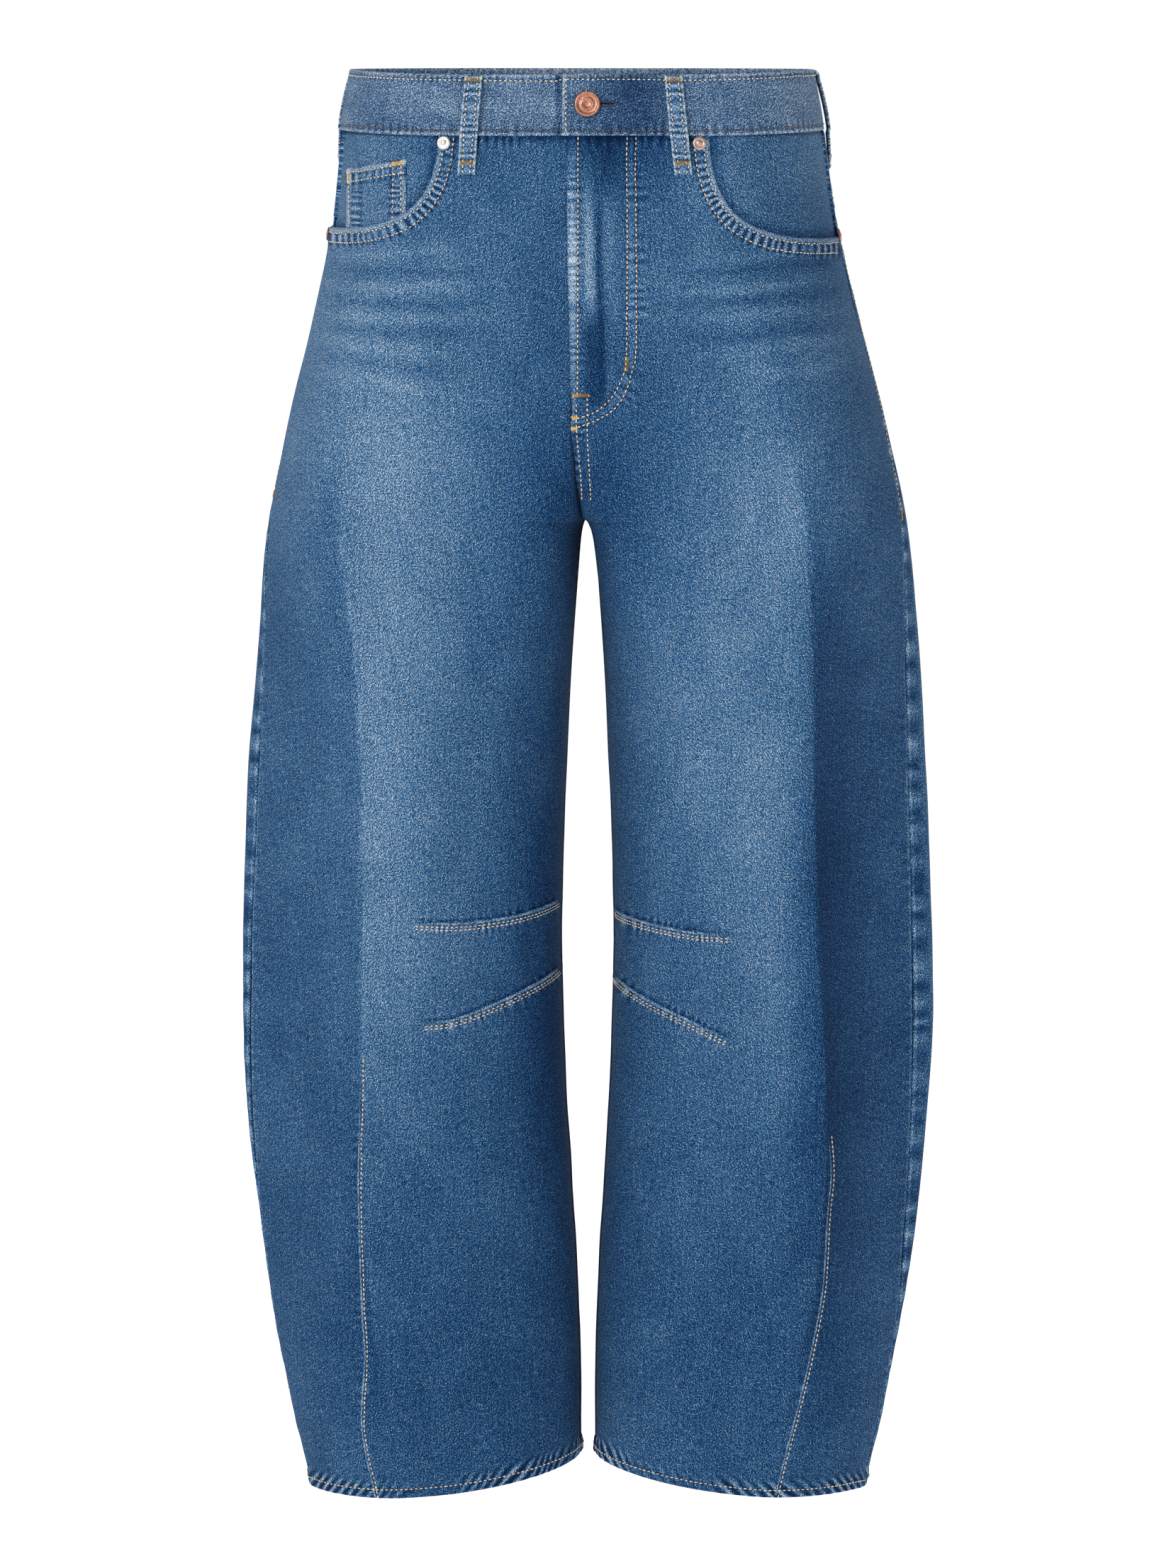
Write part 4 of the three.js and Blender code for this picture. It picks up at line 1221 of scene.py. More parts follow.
def metal(name, clean, worn, roughness, spread):
    material, tree, shader = new_material(name)
    worn_places = add_group(tree, wear, {"Spread": spread})
    mask = worn_places.outputs["Mask"]
    colours = dict(zip(colour_sockets, (mask, clean, worn)))
    mix = add_node(tree, "ShaderNodeMix", data_type="RGBA")
    set_inputs(tree, mix, colours)
    finish = {
        "Base Color": mix.outputs[colour_result],
        "Roughness": maths(tree, "ADD", maths(tree, "MULTIPLY", mask, 0.15), roughness),
        "Normal": bumped(tree, worn_places.outputs["Relief"], 0.2, 0.0002),
        "Metallic": 1.0,
    }
    set_inputs(tree, shader, finish)
    return material


def thread(name, colour, dark, roughness=0.6):
    material, tree, shader = new_material(name)
    noise = object_noise(tree, 1400.0, 2.0)
    finish = {
        "Base Color": ramp(tree, [(0.3, dark), (0.7, colour)], noise),
        "Normal": bumped(tree, noise, 0.4, 0.0002),
        "Roughness": roughness,
        "Sheen Weight": 0.2,
    }
    set_inputs(tree, shader, finish)
    return material


copper = metal("copper", srgb(184, 130, 110), srgb(108, 68, 56), 0.38, 0.5)
nickel = metal("nickel", srgb(212, 206, 200), srgb(150, 132, 120), 0.28, 0.6)
rubbed_nickel = metal("rubbed_nickel", srgb(204, 178, 168), srgb(128, 96, 84), 0.34, 0.48)
tan_thread = thread("tan_thread", srgb(252, 234, 206), srgb(222, 196, 164))
gold_thread = thread("gold_thread", srgb(255, 218, 130), srgb(244, 188, 96))
brown_thread = thread("brown_thread", srgb(120, 104, 96), srgb(70, 62, 66))
navy_thread = thread("navy_thread", srgb(34, 44, 70), srgb(18, 24, 42), 0.8)
tape_cloth = thread("zip_tape", srgb(44, 56, 84), srgb(24, 32, 54), 0.9)
print("metals and threads ready")

# %% [markdown]
# A panel is a grid of points. Its rows leave the inner edge square to it, cross the leg, and meet the
# outer edge square to that, so small forms can follow both the hooked crotch and the scooped mouth.
# Level rings would be simpler, but they would cut across those curves and the puckers would smear.
# %% Panels as rows of points
inner_steps = (0, 0.6, 1.3, 2.2, 3.3, 4.6, 6.2, 8.2, 10.6, 13.4)
outer_steps = (0, 0.6, 1.2, 2.0, 2.9, 3.9, 4.9, 5.9, 7.0, 8.1, 9.2, 10.3, 11.4, 12.5, 13.7, 15.2, 17.2)
inner_pull = 30.0
outer_pull = 35.0
pull_share = 0.38


def pattern_x(half, face, distance, z):
    """Where a place lies across the flat pattern, with the grain upright."""
    if face == "front":
        return distance - measure(half, "crest", z) + measure(half, "crest_x", z)
    return measure(half, "seat", z) - distance + measure(half, "seat_x", z)


def pattern_place(half, face, distance, z):
    return np.stack([pattern_x(half, face, distance, z), z], axis=-1)


def distance_at(half, face, x, z):
    if face == "front":
        return x + measure(half, "crest", z) - measure(half, "crest_x", z)
    return measure(half, "seat", z) - x + measure(half, "seat_x", z)


def square_to(edge, spread=4):
    """The direction square to an edge, on its left as it runs down, as angles eased round its corners."""
    way = np.gradient(edge, axis=0)
    angle = np.unwrap(np.arctan2(way[:, 0], -way[:, 1]))
    return blurred(np.pad(angle, 3 * spread, mode="edge")[None], 3 * spread, spread)[0]


def bent_rows(inner, outer, corner=None, tip=None):
    """Curved rows between two edges. They run straight along the top, and past a corner or a tip."""
    count = np.arange(len(inner))
    span = np.linalg.norm(outer - inner, axis=1)
    straight = np.arctan2(outer[:, 1] - inner[:, 1], outer[:, 0] - inner[:, 0])
    top = fading(count, 0, 16)
    start_ease, end_ease = top.copy(), top.copy()
    pull = np.minimum(pull_share * span, inner_pull)
    if corner is not None:
        end_ease = np.maximum(end_ease, smoothstep(count, corner - 46, corner - 14))
        end_ease = end_ease * fading(count, corner + 8, corner + 22)
    if tip is not None:
        start_ease = np.maximum(start_ease, 0.62 * smoothstep(count, tip - 26, tip - 4))
        start_ease = start_ease * fading(count, tip + 4, tip + 14)
        pull = pull * (1 - 0.6 * hump(count - tip, 14))
    start_angle = square_to(inner)
    end_angle = square_to(outer)
    start_angle = start_angle + (straight - start_angle) * start_ease
    end_angle = end_angle + (straight - end_angle) * end_ease
    start_way = np.stack([np.cos(start_angle), np.sin(start_angle)], axis=1)
    end_way = np.stack([np.cos(end_angle), np.sin(end_angle)], axis=1)
    second = inner + pull[:, None] * start_way
    third = outer - np.minimum(pull_share * span, outer_pull)[:, None] * end_way
    t = np.linspace(0, 1, 140)[None, :, None]
    return swept([knot[:, None] for knot in (inner, second, third, outer)], t)


def spread_columns(rows, near_count, far_count, near_share=0.42):
    """Places along each row, closest together at both ends, and their distances from the inner edge."""
    flat, from_inner, from_outer = [], [], []
    for row in rows:
        lengths = run_along(row)
        total = lengths[-1]
        turn = max(near_share * total, inner_steps[-1] + 8)
        near = np.linspace(inner_steps[-1], turn, near_count + 1)[1:]
        far = np.linspace(turn, total - outer_steps[-1], far_count + 2)[1:-1]
        places = np.concatenate([inner_steps, near, far, total - np.array(outer_steps[::-1])])
        flat.append(np.stack([np.interp(places, lengths, values) for values in row.T], axis=1))
        from_inner.append(places)
        from_outer.append(total - places)
    return np.array(flat), np.array(from_inner), np.array(from_outer)


def inner_line(half, face, z):
    """The inner edge of a panel on the flat pattern: the middle, the hook of the crotch, the inseam."""
    if face == "back":
        distance = measure(half, "total", z)
    else:
        laps = half == "left"
        distance = -fly_overlap * smoothstep(z, fly_bottom - 4, fly_bottom + 4) * laps
    return pattern_place(half, face, distance, z)


def hook_heights(half, face, top, count):
    """Heights down the hook of the crotch, evenly apart along its curve."""
    levels = charts[half]["z"]
    levels = np.concatenate([[top], levels[(levels < top) & (levels > crotch)], [crotch]])
    edge = inner_line(half, face, levels)
    lengths = run_along(edge)
    return np.interp(np.linspace(0, lengths[-1], count + 1), lengths, levels)


def row_heights(half, face, inner_top, outer_top, stretches):
    inner, outer = [inner_top], [outer_top]
    for inner_foot, outer_foot, count in stretches:
        if inner_foot == crotch:
            steps = hook_heights(half, face, inner[-1], count)
        else:
            steps = np.linspace(inner[-1], inner_foot, count + 1)
        inner.extend(steps[1:])
        outer.extend(np.linspace(outer[-1], outer_foot, count + 1)[1:])
    return np.array(inner), np.array(outer)


print("rows meet both edges square; first steps", inner_steps[:4])

# %% [markdown]
# From a grid to a piece of cloth. The relief is added along the normals, and the mesh carries its place on
# the flat pattern as a UV map, its tone as an attribute, and a live Solidify modifier for its thickness.
# %% From grids to meshes
pieces = {}
shells = {}


def facing_out(points, toward):
    """Normals of a grid on the side that toward points to, and whether its faces are turned for that."""
    normals = unit(np.cross(np.gradient(points, axis=1), np.gradient(points, axis=0)))
    turned = normals[points.shape[0] // 2, points.shape[1] // 2] @ toward > 0
    return (normals if turned else -normals), turned


def from_faces(name, points, faces, looks, caps=()):
    """A smooth mesh object from points in millimetres, and a shell of its faces to lay lines on."""
    mesh = bpy.data.meshes.new(f"{name}_made")
    mesh.from_pydata((points.reshape(-1, 3) * mm).tolist(), [], [*faces, *caps])
    mesh.polygons.foreach_set("use_smooth", [True] * len(mesh.polygons))
    for look in looks:
        mesh.materials.append(look)
    mesh.update()
    piece = bpy.data.objects.new(f"{name}_made", mesh)
    bpy.context.scene.collection.objects.link(piece)
    pieces[name] = piece
    shells[name] = BVHTree.FromPolygons(points.reshape(-1, 3).tolist(), faces)
    return piece


def grid_faces(rows, columns, turned, keep=None, closed=False):
    index = np.arange(rows * columns).reshape(rows, columns)
    if closed:
        index = np.concatenate([index, index[:, :1]], axis=1)
    corners = [index[:-1, :-1], index[1:, :-1], index[1:, 1:], index[:-1, 1:]]
    quads = np.stack(corners[::-1] if turned else corners, axis=-1)
    if keep is not None:
        quads = quads[keep]
    return quads.reshape(-1, 4).tolist()


def mark_cloth(piece, flat, shade):
    """Writes the flat pattern, in metres, as a UV map, and the shade as attributes."""
    mesh = piece.data
    uv = mesh.uv_layers.new(name=weave_map)
    corners = np.empty(len(mesh.loops), dtype=int)
    mesh.loops.foreach_get("vertex_index", corners)
    uv.data.foreach_set("uv", (np.asarray(flat).reshape(-1, 2)[corners] * mm).ravel())
    marks = {"tone": shade.tone, "ridge_count": shade.count, "ridge_strength": shade.strength}
    for name, values in marks.items():
        spots = np.broadcast_to(values, flat.shape[:2]).astype(float).ravel()
        mesh.attributes.new(name, "FLOAT", "POINT").data.foreach_set("value", spots)


def cloth_piece(name, points, flat, shade, toward, thickness):
    """A sheet made from a grid of points, and the normals of its outer face."""
    normals, turned = facing_out(points, toward)
    faces = grid_faces(*points.shape[:2], turned)
    piece = from_faces(name, points, faces, [denim_face, denim_inside] if thickness else [denim_face])
    mark_cloth(piece, flat, shade)
    if thickness:
        wall = piece.modifiers.new("thickness", "SOLIDIFY")
        wall.thickness = thickness * mm
        wall.offset = -1
        wall.material_offset = 1
    return normals


grids = {}
cuts = {}
lap_fade = (12, 80)
tuck = 4.0
tuck_depth, tuck_under = 0.1, 0.9


def tucked(half, points, normals, flat, shade, distance):
    """Adds the edge that runs up inside the waistband, which leaves no slit between the two."""
    behind = tuck_depth + (tuck_under * fading(distance[0], *lap_fade) if half == "right" else 0)
    edge = points[0] - normals[0] * np.broadcast_to(behind, distance[0].shape)[:, None] + [0, 0, tuck]
    longer = [np.concatenate([values[:1], values]) for values in (shade.tone, shade.count, shade.strength)]
    return np.vstack([edge[None], points]), np.vstack([flat[:1] + [0, tuck], flat]), Shade(*longer)


def lay_cloth(name, half, distance, z, relief, shade, flat, thickness=cloth_thickness, tuck_in=False):
    """Lays a grid of places on the form, raised by its relief, and keeps it for the stitches."""
    base = surface(half, distance, z)
    middle = base.shape[0] // 2, base.shape[1] // 2
    toward = outward(half, distance[middle], z[middle])
    points = base + facing_out(base, toward)[0] * relief[..., None]
    sheet = (points, flat, shade)
    if tuck_in:
        sheet = tucked(half, points, facing_out(points, toward)[0], flat, shade, distance)
    normals = cloth_piece(name, *sheet, toward, thickness)
    grids[name] = {"points": points, "normals": normals[-len(points) :], "z": z}
    cuts[name] = flat_size(flat)


def flat_size(flat):
    """Width, length and area of a cut, in metres and square metres."""
    across, down = np.diff(flat, axis=1)[:-1], np.diff(flat, axis=0)[:, :-1]
    area = np.abs(across[..., 0] * down[..., 1] - across[..., 1] * down[..., 0]).sum()
    width, length = np.ptp(flat[..., 0]), np.ptp(flat[..., 1])
    return (width * mm, length * mm), area * mm * mm


def cut_words(name):
    size, area = cuts[name]
    return f"{size[0]:.3f} by {size[1]:.3f} m, {area:.4f} square metres"


print("pieces so far:", len(pieces))

# %% [markdown]
# The two fronts. On the real pair each is one cut of denim from waist to hem; the pocket mouth is scooped
# out of its upper corner and the fly is turned back on the wearer's left.
# %% Make the fronts
front_stretches = [
    (-205, -108, 78),
    (-262, -222, 22),
    (crotch, -318, 30),
    (-400, -400, 22),
    (-545, -545, 30),
    (-665, -665, 78),
    (-950, -950, 56),
    (hem, hem, 26),
]
front_near, front_far = 60, 47


def front_grid(half):
    inner_z, outer_z = row_heights(half, "front", panel_top, panel_top, front_stretches)
    mouth_rows = front_stretches[0][2]
    mouth = mouths[half][np.linspace(2, len(mouths[half]) - 1, 60).astype(int)]
    distance, z = on_front(half, mouth[:, 0], mouth[:, 1])
    distance = np.minimum(distance, measure(half, "seam", z))
    edge = pattern_place(half, "front", distance, z)
    start = [np.interp(-panel_top, -z, edge[:, 0]), panel_top]
    edge = np.vstack([start, edge[z < panel_top - 0.2]])
    mouth_edge = in_steps(edge, mouth_rows)
    outer_z[mouth_rows:] += (mouth_edge[-1, 1] - outer_z[mouth_rows]) * (outer_z[mouth_rows:] > -200)
    outer = pattern_place(half, "front", measure(half, "seam", outer_z), outer_z)
    outer[: mouth_rows + 1] = mouth_edge
    tip = sum(count for _, _, count in front_stretches[:3])
    rows = bent_rows(inner_line(half, "front", inner_z), outer, corner=mouth_rows, tip=tip)
    return spread_columns(rows, front_near, front_far)


def make_panel(half, face, flat, from_inner, from_outer):
    """A front or a back, from the places of its rows on the flat pattern."""
    z = np.clip(flat[..., 1], hem, panel_top)
    distance = distance_at(half, face, flat[..., 0], z)
    form = front_form if face == "front" else back_form
    relief, shade = form(half, distance, z, from_inner)
    name = f"{face}_{half}"
    lay_cloth(name, half, distance, z, relief, shade, flat, tuck_in=face == "front")
    grids[name].update(inner=from_inner, outer=from_outer)
    print(name, "cut", cut_words(name))


for half in side_sign:
    make_panel(half, "front", *front_grid(half))

# %% [markdown]
# The backs and the yokes above them. The yoke is the shaped strip under the waistband that gives jeans
# their seat; its seam slopes down to the centre back, so the back's first row slopes with it.
# %% Make the backs and yokes
back_stretches = [
    (-250, -235, 32),
    (crotch, -312, 30),
    (-400, -400, 22),
    (-950, -950, 118),
    (hem, hem, 26),
]
back_near, back_far = 32, 40
seam_gap = 0.3


def make_back(half):
    inner_top, outer_top = yoke_centre - seam_gap, yoke_side - seam_gap
    inner_z, outer_z = row_heights(half, "back", inner_top, outer_top, back_stretches)
    outer = pattern_place(half, "back", measure(half, "seam", outer_z), outer_z)
    tip = sum(count for _, _, count in back_stretches[:2])
    rows = bent_rows(inner_line(half, "back", inner_z), outer, tip=tip)
    make_panel(half, "back", *spread_columns(rows, back_near, back_far))


def make_yoke(half):
    shares = np.concatenate(
        [[0, 0.004, 0.01, 0.02, 0.035], np.linspace(0.05, 0.95, 84), [0.965, 0.98, 0.99, 1]]
    )
    downs = np.concatenate([[0, 0.01, 0.03, 0.06], np.linspace(0.1, 0.9, 26), [0.94, 0.97, 0.99, 1]])
    share, down = np.meshgrid(shares, downs)
    z = panel_top + (yoke_seam(half, yoke_width(half) * (1 - share)) - panel_top) * down
    distance = across_back(half, share, z)
    relief, shade = back_form(half, distance, z, measure(half, "total", z) - distance)
    waist = ridges(panel_top - z, distance, (-1, 4, 15), 7.0, 351)
    relief += -0.5 * hump(panel_top - z, 1.5)
    # Puckers along the waistband seam, and painted shadow under the waistband along the yoke's top edge.
    shade += 0.12 * waist - 0.1 * hump(panel_top - z, 2.5)
    name = f"yoke_{half}"
    lay_cloth(name, half, distance, z, relief, shade, pattern_place(half, "back", distance, z))
    print(name, "cut", cut_words(name))


for half in side_sign:
    make_back(half)
    make_yoke(half)

# %% [markdown]
# Behind each mouth lies a facing of the same denim, and on the wearer's right the small coin pocket lies
# on it. They are seen only through the scoop, but they run on behind the front as the real ones do.
# %% Facings and coin pocket
facing_reach = 14.0
facing_bottom = -150.0
facing_thickness = 1.0
behind_front = -1.7
coin_depth, coin_inset, coin_thickness = 1.3, 0.25, 0.9
coin_left, coin_right = -161.0, -118.0
coin_top_left, coin_top_right = -66.0, -58.5
coin_bottom = -136.0


def behind_piece(name, half, x, z, relief, shade, thickness):
    """A flat patch behind a mouth, from where it lies seen from the front."""
    distance, height = on_front(half, x, z)
    distance = np.minimum(distance, measure(half, "seam", height))
    flat = pattern_place(half, "front", distance, height)
    lay_cloth(name, half, distance, height, relief, shade, flat, thickness)
    print(name, "cut", cut_words(name))


def make_facing(half):
    corner, side, _ = mouth_sizes[half]
    start = corner - facing_reach * side_sign[half]
    x, z = np.meshgrid(np.linspace(start, side, 48), np.linspace(panel_top - 0.5, facing_bottom, 44))
    relief = 0.4 * mottle(x / 18, z / 24, 51) * smoothstep(panel_top - z, 0, 20)
    near, _ = near_line(mouths[half], x, z)
    # The facing's painted shadow lies next to the mouth, under the front's edge.
    shade = Shade(wash_and_shade(half, x, z) + 0.04 * mottle(x / 16, z / 22, 52) - 0.18 * hump(near, 5))
    depth = behind_front - (coin_depth if half == "right" else 0)
    behind_piece(f"pocket_facing_{half}", half, x, z, depth + relief, shade, facing_thickness)


def make_coin_pocket():
    across = np.concatenate(
        [[0, 0.012, 0.03, 0.05, 0.08], np.linspace(0.11, 0.89, 26), [0.92, 0.95, 0.97, 0.988, 1]]
    )
    downs = np.concatenate([[0, 0.007, 0.015, 0.03], np.linspace(0.045, 0.98, 50), [1]])
    share, down = np.meshgrid(across, downs)
    top = coin_top_left + (coin_top_right - coin_top_left) * share
    x = coin_left + (coin_right - coin_left) * share
    z = top + (coin_bottom - top) * down
    from_top = top - z
    from_sides = np.minimum(share, 1 - share) * (coin_right - coin_left)
    top_height, top_tone = double_fold(from_top, x, 53, thick=0.3)
    side_height, side_tone = double_fold(from_sides, z, 54, thick=0.2)
    relief = np.clip(0.5 * top_height + 0.4 * side_height, -0.6, 0.9)
    shade = wash_and_shade("right", x, z) + 0.02 + 1.1 * top_tone + 0.9 * side_tone
    relief = behind_front + (relief - coin_inset)
    behind_piece("coin_pocket", "right", x, z, relief, shade, coin_thickness)


for half in side_sign:
    make_facing(half)
make_coin_pocket()

# %% [markdown]
# Back pockets are patches with a pointed foot, sewn on last. Each follows the back's own relief, moved
# out, so it lies on the cloth everywhere. The rows on it are plain: two along the mouth, two round it.
# %% Back pockets
pocket_stand, pocket_thickness = 1.6, 1.1


def pocket_place(half, share, down):
    """Distance and height of a place at some shares of a back pocket's width and depth."""
    depth = down * (pocket_height + pocket_point * (1 - np.abs(2 * share - 1)))
    narrow = pocket_taper * np.clip(depth / pocket_height, 0, 1)
    from_centre = pocket_inner + narrow + (pocket_width - 2 * narrow) * share
    z = yoke_seam(half, from_centre) - pocket_below - depth
    return measure(half, "total", z) - from_centre, z, from_centre, depth


def make_back_pocket(half):
    across = np.concatenate(
        [[0, 0.006, 0.014, 0.025, 0.04], np.linspace(0.06, 0.94, 46), [0.96, 0.975, 0.986, 0.994, 1]]
    )
    downs = np.concatenate([[0, 0.005, 0.012, 0.025], np.linspace(0.04, 0.96, 52), [0.975, 0.988, 0.995, 1]])
    share, down = np.meshgrid(across, downs)
    distance, z, from_centre, depth = pocket_place(half, share, down)
    relief, shade = back_form(half, distance, z, from_centre)
    from_top, from_sides = depth, np.minimum(share, 1 - share) * pocket_width
    from_foot = (1 - down) * pocket_height
    edge = np.minimum(from_sides, from_foot)
    top_height, top_tone = double_fold(from_top, from_centre, 361, thick=0.5)
    edge_height, edge_tone = seam_side(edge, z + from_centre, 371, pitch=6.0, pale=0.14)
    relief += pocket_stand + 0.6 * top_height + 0.9 * edge_height
    shade += 0.03 + 0.8 * top_tone + edge_tone + 0.05 * hump(from_sides - 60, 30)
    name = f"back_pocket_{half}"
    flat = pattern_place(half, "back", distance, z)
    lay_cloth(name, half, distance, z, relief, shade, flat, pocket_thickness)
    print(name, "cut", cut_words(name))


for half in side_sign:
    make_back_pocket(half)

# %% [markdown]
# Folded strips: the waistband and the belt loops have two faces and rolled edges. Each is a closed ring
# of points carried along a path, which rounds the edges better than a thickened sheet.
# %% A folded strip


def folded_strip(name, points, flat, shade, look, cut_length, cut_width, keep=None):
    """Joins rings of points into a closed strip; rows run along it and columns round it."""
    rows, columns = points.shape[:2]
    middle = points.mean(axis=1)
    r = rows // 2
    ring, way = points[r] - middle[r], middle[min(r + 1, rows - 1)] - middle[max(r - 1, 0)]
    turning = sum(np.cross(ring[c - 1], ring[c]) for c in range(columns))
    turned = turning @ way > 0
    faces = grid_faces(rows, columns, turned, keep, closed=True)
    ends = [list(range(columns)), list(range((rows - 1) * columns, rows * columns))]
    ends[0 if turned else 1].reverse()
    mark_cloth(from_faces(name, points, faces, [look], caps=ends), flat, shade)
    cuts[name] = ((cut_length * mm, cut_width * mm), cut_length * cut_width * mm * mm)


def ring_of(low, high, thickness, fine, coarse, turn_steps=5):
    """Places round a folded strip, and their depths: its face from high to low, the turns and the back."""
    radius = thickness / 2
    angles = np.linspace(0, math.pi, turn_steps + 2)[1:-1]
    face = [(value, 0.0) for value in np.linspace(high - radius, low + radius, fine)]
    foot = [(low + radius - radius * math.sin(a), -radius + radius * math.cos(a)) for a in angles]
    back = [(value, -thickness) for value in np.linspace(low + radius, high - radius, coarse)]
    head = [(high - radius + radius * math.sin(a), -radius - radius * math.cos(a)) for a in angles]
    return np.array(face + foot + back + head).T


band_stand, band_thickness = 1.0, 2.6
band_over, band_under, band_step = 4.5, 34.0, 1.45
hole_from, hole_to, hole_half = 9.0, 30.0, 0.9
button_from_middle, button_z = 12.0, -20.0
band_column = 1.6
band_top_row, band_foot_row = 3.4, 38.2


def band_columns():
    """Places along the four runs of the waistband: under the lap, right half, left half, the lap."""
    right, left = [int(measure(half, "total", button_z) / band_column) for half in ("right", "left")]
    under = np.arange(band_under, 0, -band_column)
    over = np.array([-1.0, -2.0, -3.0, -4.0, -band_over])
    return under, -np.linspace(0, 1, right), np.linspace(1, 0, left)[1:], over


def make_waistband():
    z, inward = ring_of(-band_height, 0.0, band_thickness, 44, 8)
    under, first, second, over = band_columns()
    right, left = measure("right", "total", z), measure("left", "total", z)
    spans = [(under, 1 + 0 * z), (first, right), (second, left), (over, 1 + 0 * z)]
    distance = np.concatenate([share[:, None] * span for share, span in spans])
    first_run, second_run = first * right[0], -right[0] - (1 - second) * left[0]
    run = np.concatenate([under, first_run, second_run, -right[0] - left[0] + over])
    layer = np.repeat([0, 1, 2, 3], [len(share) for share, _ in spans])[:, None]
    ramp_right = fading(-distance, *lap_fade)
    ramp_left = fading(distance, band_under, lap_fade[1])
    shift = np.select([layer == 0, layer == 1, layer >= 2], [-1.0, -ramp_right, ramp_left]) * band_step
    run = np.broadcast_to(run[:, None], distance.shape)
    height = np.broadcast_to(z, distance.shape)
    outside = np.broadcast_to(inward > -0.1, distance.shape)
    top = ridges(-height, run, (0.5, 3, 10), 5.0, 401)
    foot = ridges(height + band_height, run, (0.5, 4, 12), 6.0, 403)
    top_row, foot_row = height + band_top_row, height + band_foot_row
    relief = -0.3 * hump(top_row, 0.9) - 0.35 * hump(foot_row, 0.9)
    relief += 0.5 * mottle(run / 30, height / 14, 405) * hump(height + 20, 14)
    tone = base_tone + 0.02 + 0.14 * top + 0.18 * foot - 0.09 * hump(top_row, 0.8)
    tone += 0.2 * hump(height + 0.8, 1.2) + 0.2 * hump(height + 39.8, 1.3)
    tone -= 0.16 * hump(foot_row, 0.9)
    tone += 0.08 * mottle(run / 34, height / 11, 407) + 0.04 * mottle(run / 9, height / 5, 408)
    upper, lapped = layer >= 2, layer == 1
    tone -= 0.27 * (hump(distance - 42, 28) * upper)
    # Where the band's end laps over: a painted highlight on the lit edge of its step, and a painted shadow
    # that the step casts on the layer under it.
    end = hump(distance + band_over, 1.6) * upper
    tone += 0.3 * end - 0.22 * (hump(distance + band_over + 2.6, 1.8) * lapped)
    normals = outward("left", distance, height)
    depth = band_stand + shift + inward + relief * outside
    points = surface("left", distance, height) + normals * depth[..., None]
    flat = np.stack([run, height], axis=-1)
    hole = upper & (distance > hole_from) & (distance < hole_to)
    hole &= np.abs(height - button_z) < hole_half
    cell = hole[:-1] & hole[1:]
    cell = cell & np.roll(cell, -1, axis=1)
    folded_strip("waistband", points, flat, tone, denim_cross, np.ptp(run), band_height, keep=~cell)


make_waistband()
print("waistband", cut_words("waistband"))

# %% [markdown]
# Five belt loops carry the belt. Each is a folded strip sewn down at its head and below the band, so it
# bows clear of the waistband between them. The real foot is folded under; here the strip ends square.
# %% Belt loops
loop_width, loop_thickness, loop_gap = 12.0, 1.6, 2.6
loop_top, loop_length = -1.0, 66.5
loop_places = {"right": (64.0, 69.0), "left": (69.0, 76.0)}
side_loop_behind = 16.0


def loop_place(name, share, z):
    """The half that a loop is sewn on, and how far round it the loop's middle lies."""
    half = "right" if name.endswith("right") else "left"
    if "front" in name:
        head, foot = loop_places[half]
        return half, head + (foot - head) * share
    if "side" in name:
        return half, measure(half, "side", z) + side_loop_behind
    return half, measure(half, "total", z)


def make_loop(name):
    aside, inward = ring_of(-loop_width / 2, loop_width / 2, loop_thickness, 12, 4, turn_steps=3)
    share = np.linspace(0, 1, 90)[:, None]
    z = loop_top + loop_length * -share + 0 * aside
    half, middle = loop_place(name, share, z)
    distance = middle + aside
    on_band = smoothstep(z, panel_top - 3, panel_top + 1)
    bow = loop_gap * np.sin(math.pi * np.minimum(share / 0.94, 1)) ** 0.7
    pressed = hump(share - 1, 0.015) + hump(share, 0.015)
    base = band_stand * on_band + bow - 0.4 * pressed
    rows = hump(np.abs(aside) - 3.4, 0.8)
    ticks = ridges(np.abs(aside), z, (-1, 5, 8), 5.0, 421)
    relief = -0.25 * rows * (inward > -0.1)
    depth = seam_gap + loop_thickness + base + inward + relief
    normals = outward(half, distance, z)
    points = surface(half, distance, z) + normals * depth[..., None]
    tone = base_tone + 0.03 - 0.14 * rows + 0.28 * hump(np.abs(aside) - 5.3, 0.8) + 0.26 * ticks
    tone += 0.06 * mottle(z / 9, aside / 4, 423)
    tone += 0.1 * hump(share - 0.9, 0.03) + 0.1 * hump(share - 0.03, 0.02)
    flat = np.stack([aside + 0 * z, z], axis=-1)
    folded_strip(name, points, flat, tone, denim_loop, loop_width, loop_length)


loop_names = [f"belt_loop_{place}_{half}" for half in side_sign for place in ("front", "side")]
loop_names.append("belt_loop_back")
for name in loop_names:
    make_loop(name)
print("belt loops:", len(loop_names))

# %% [markdown]
# The darts. At each knee two are taken in from the inseam, which gives the leg its barrel shape, and one
# runs up from the hem. Their raised edges are narrow domed sheets that lie on the front's own relief;
# they need no second face, because the front closes them from below.
# %% Dart welts
dart_nodes = {f"knee_dart_{name}": line for name, line in knee_darts.items()}
dart_nodes.update({f"hem_dart_{half}": line for half, line in hem_darts.items()})
knee_welt, hem_welt = (1.0, 0.5), (0.8, 0.35)


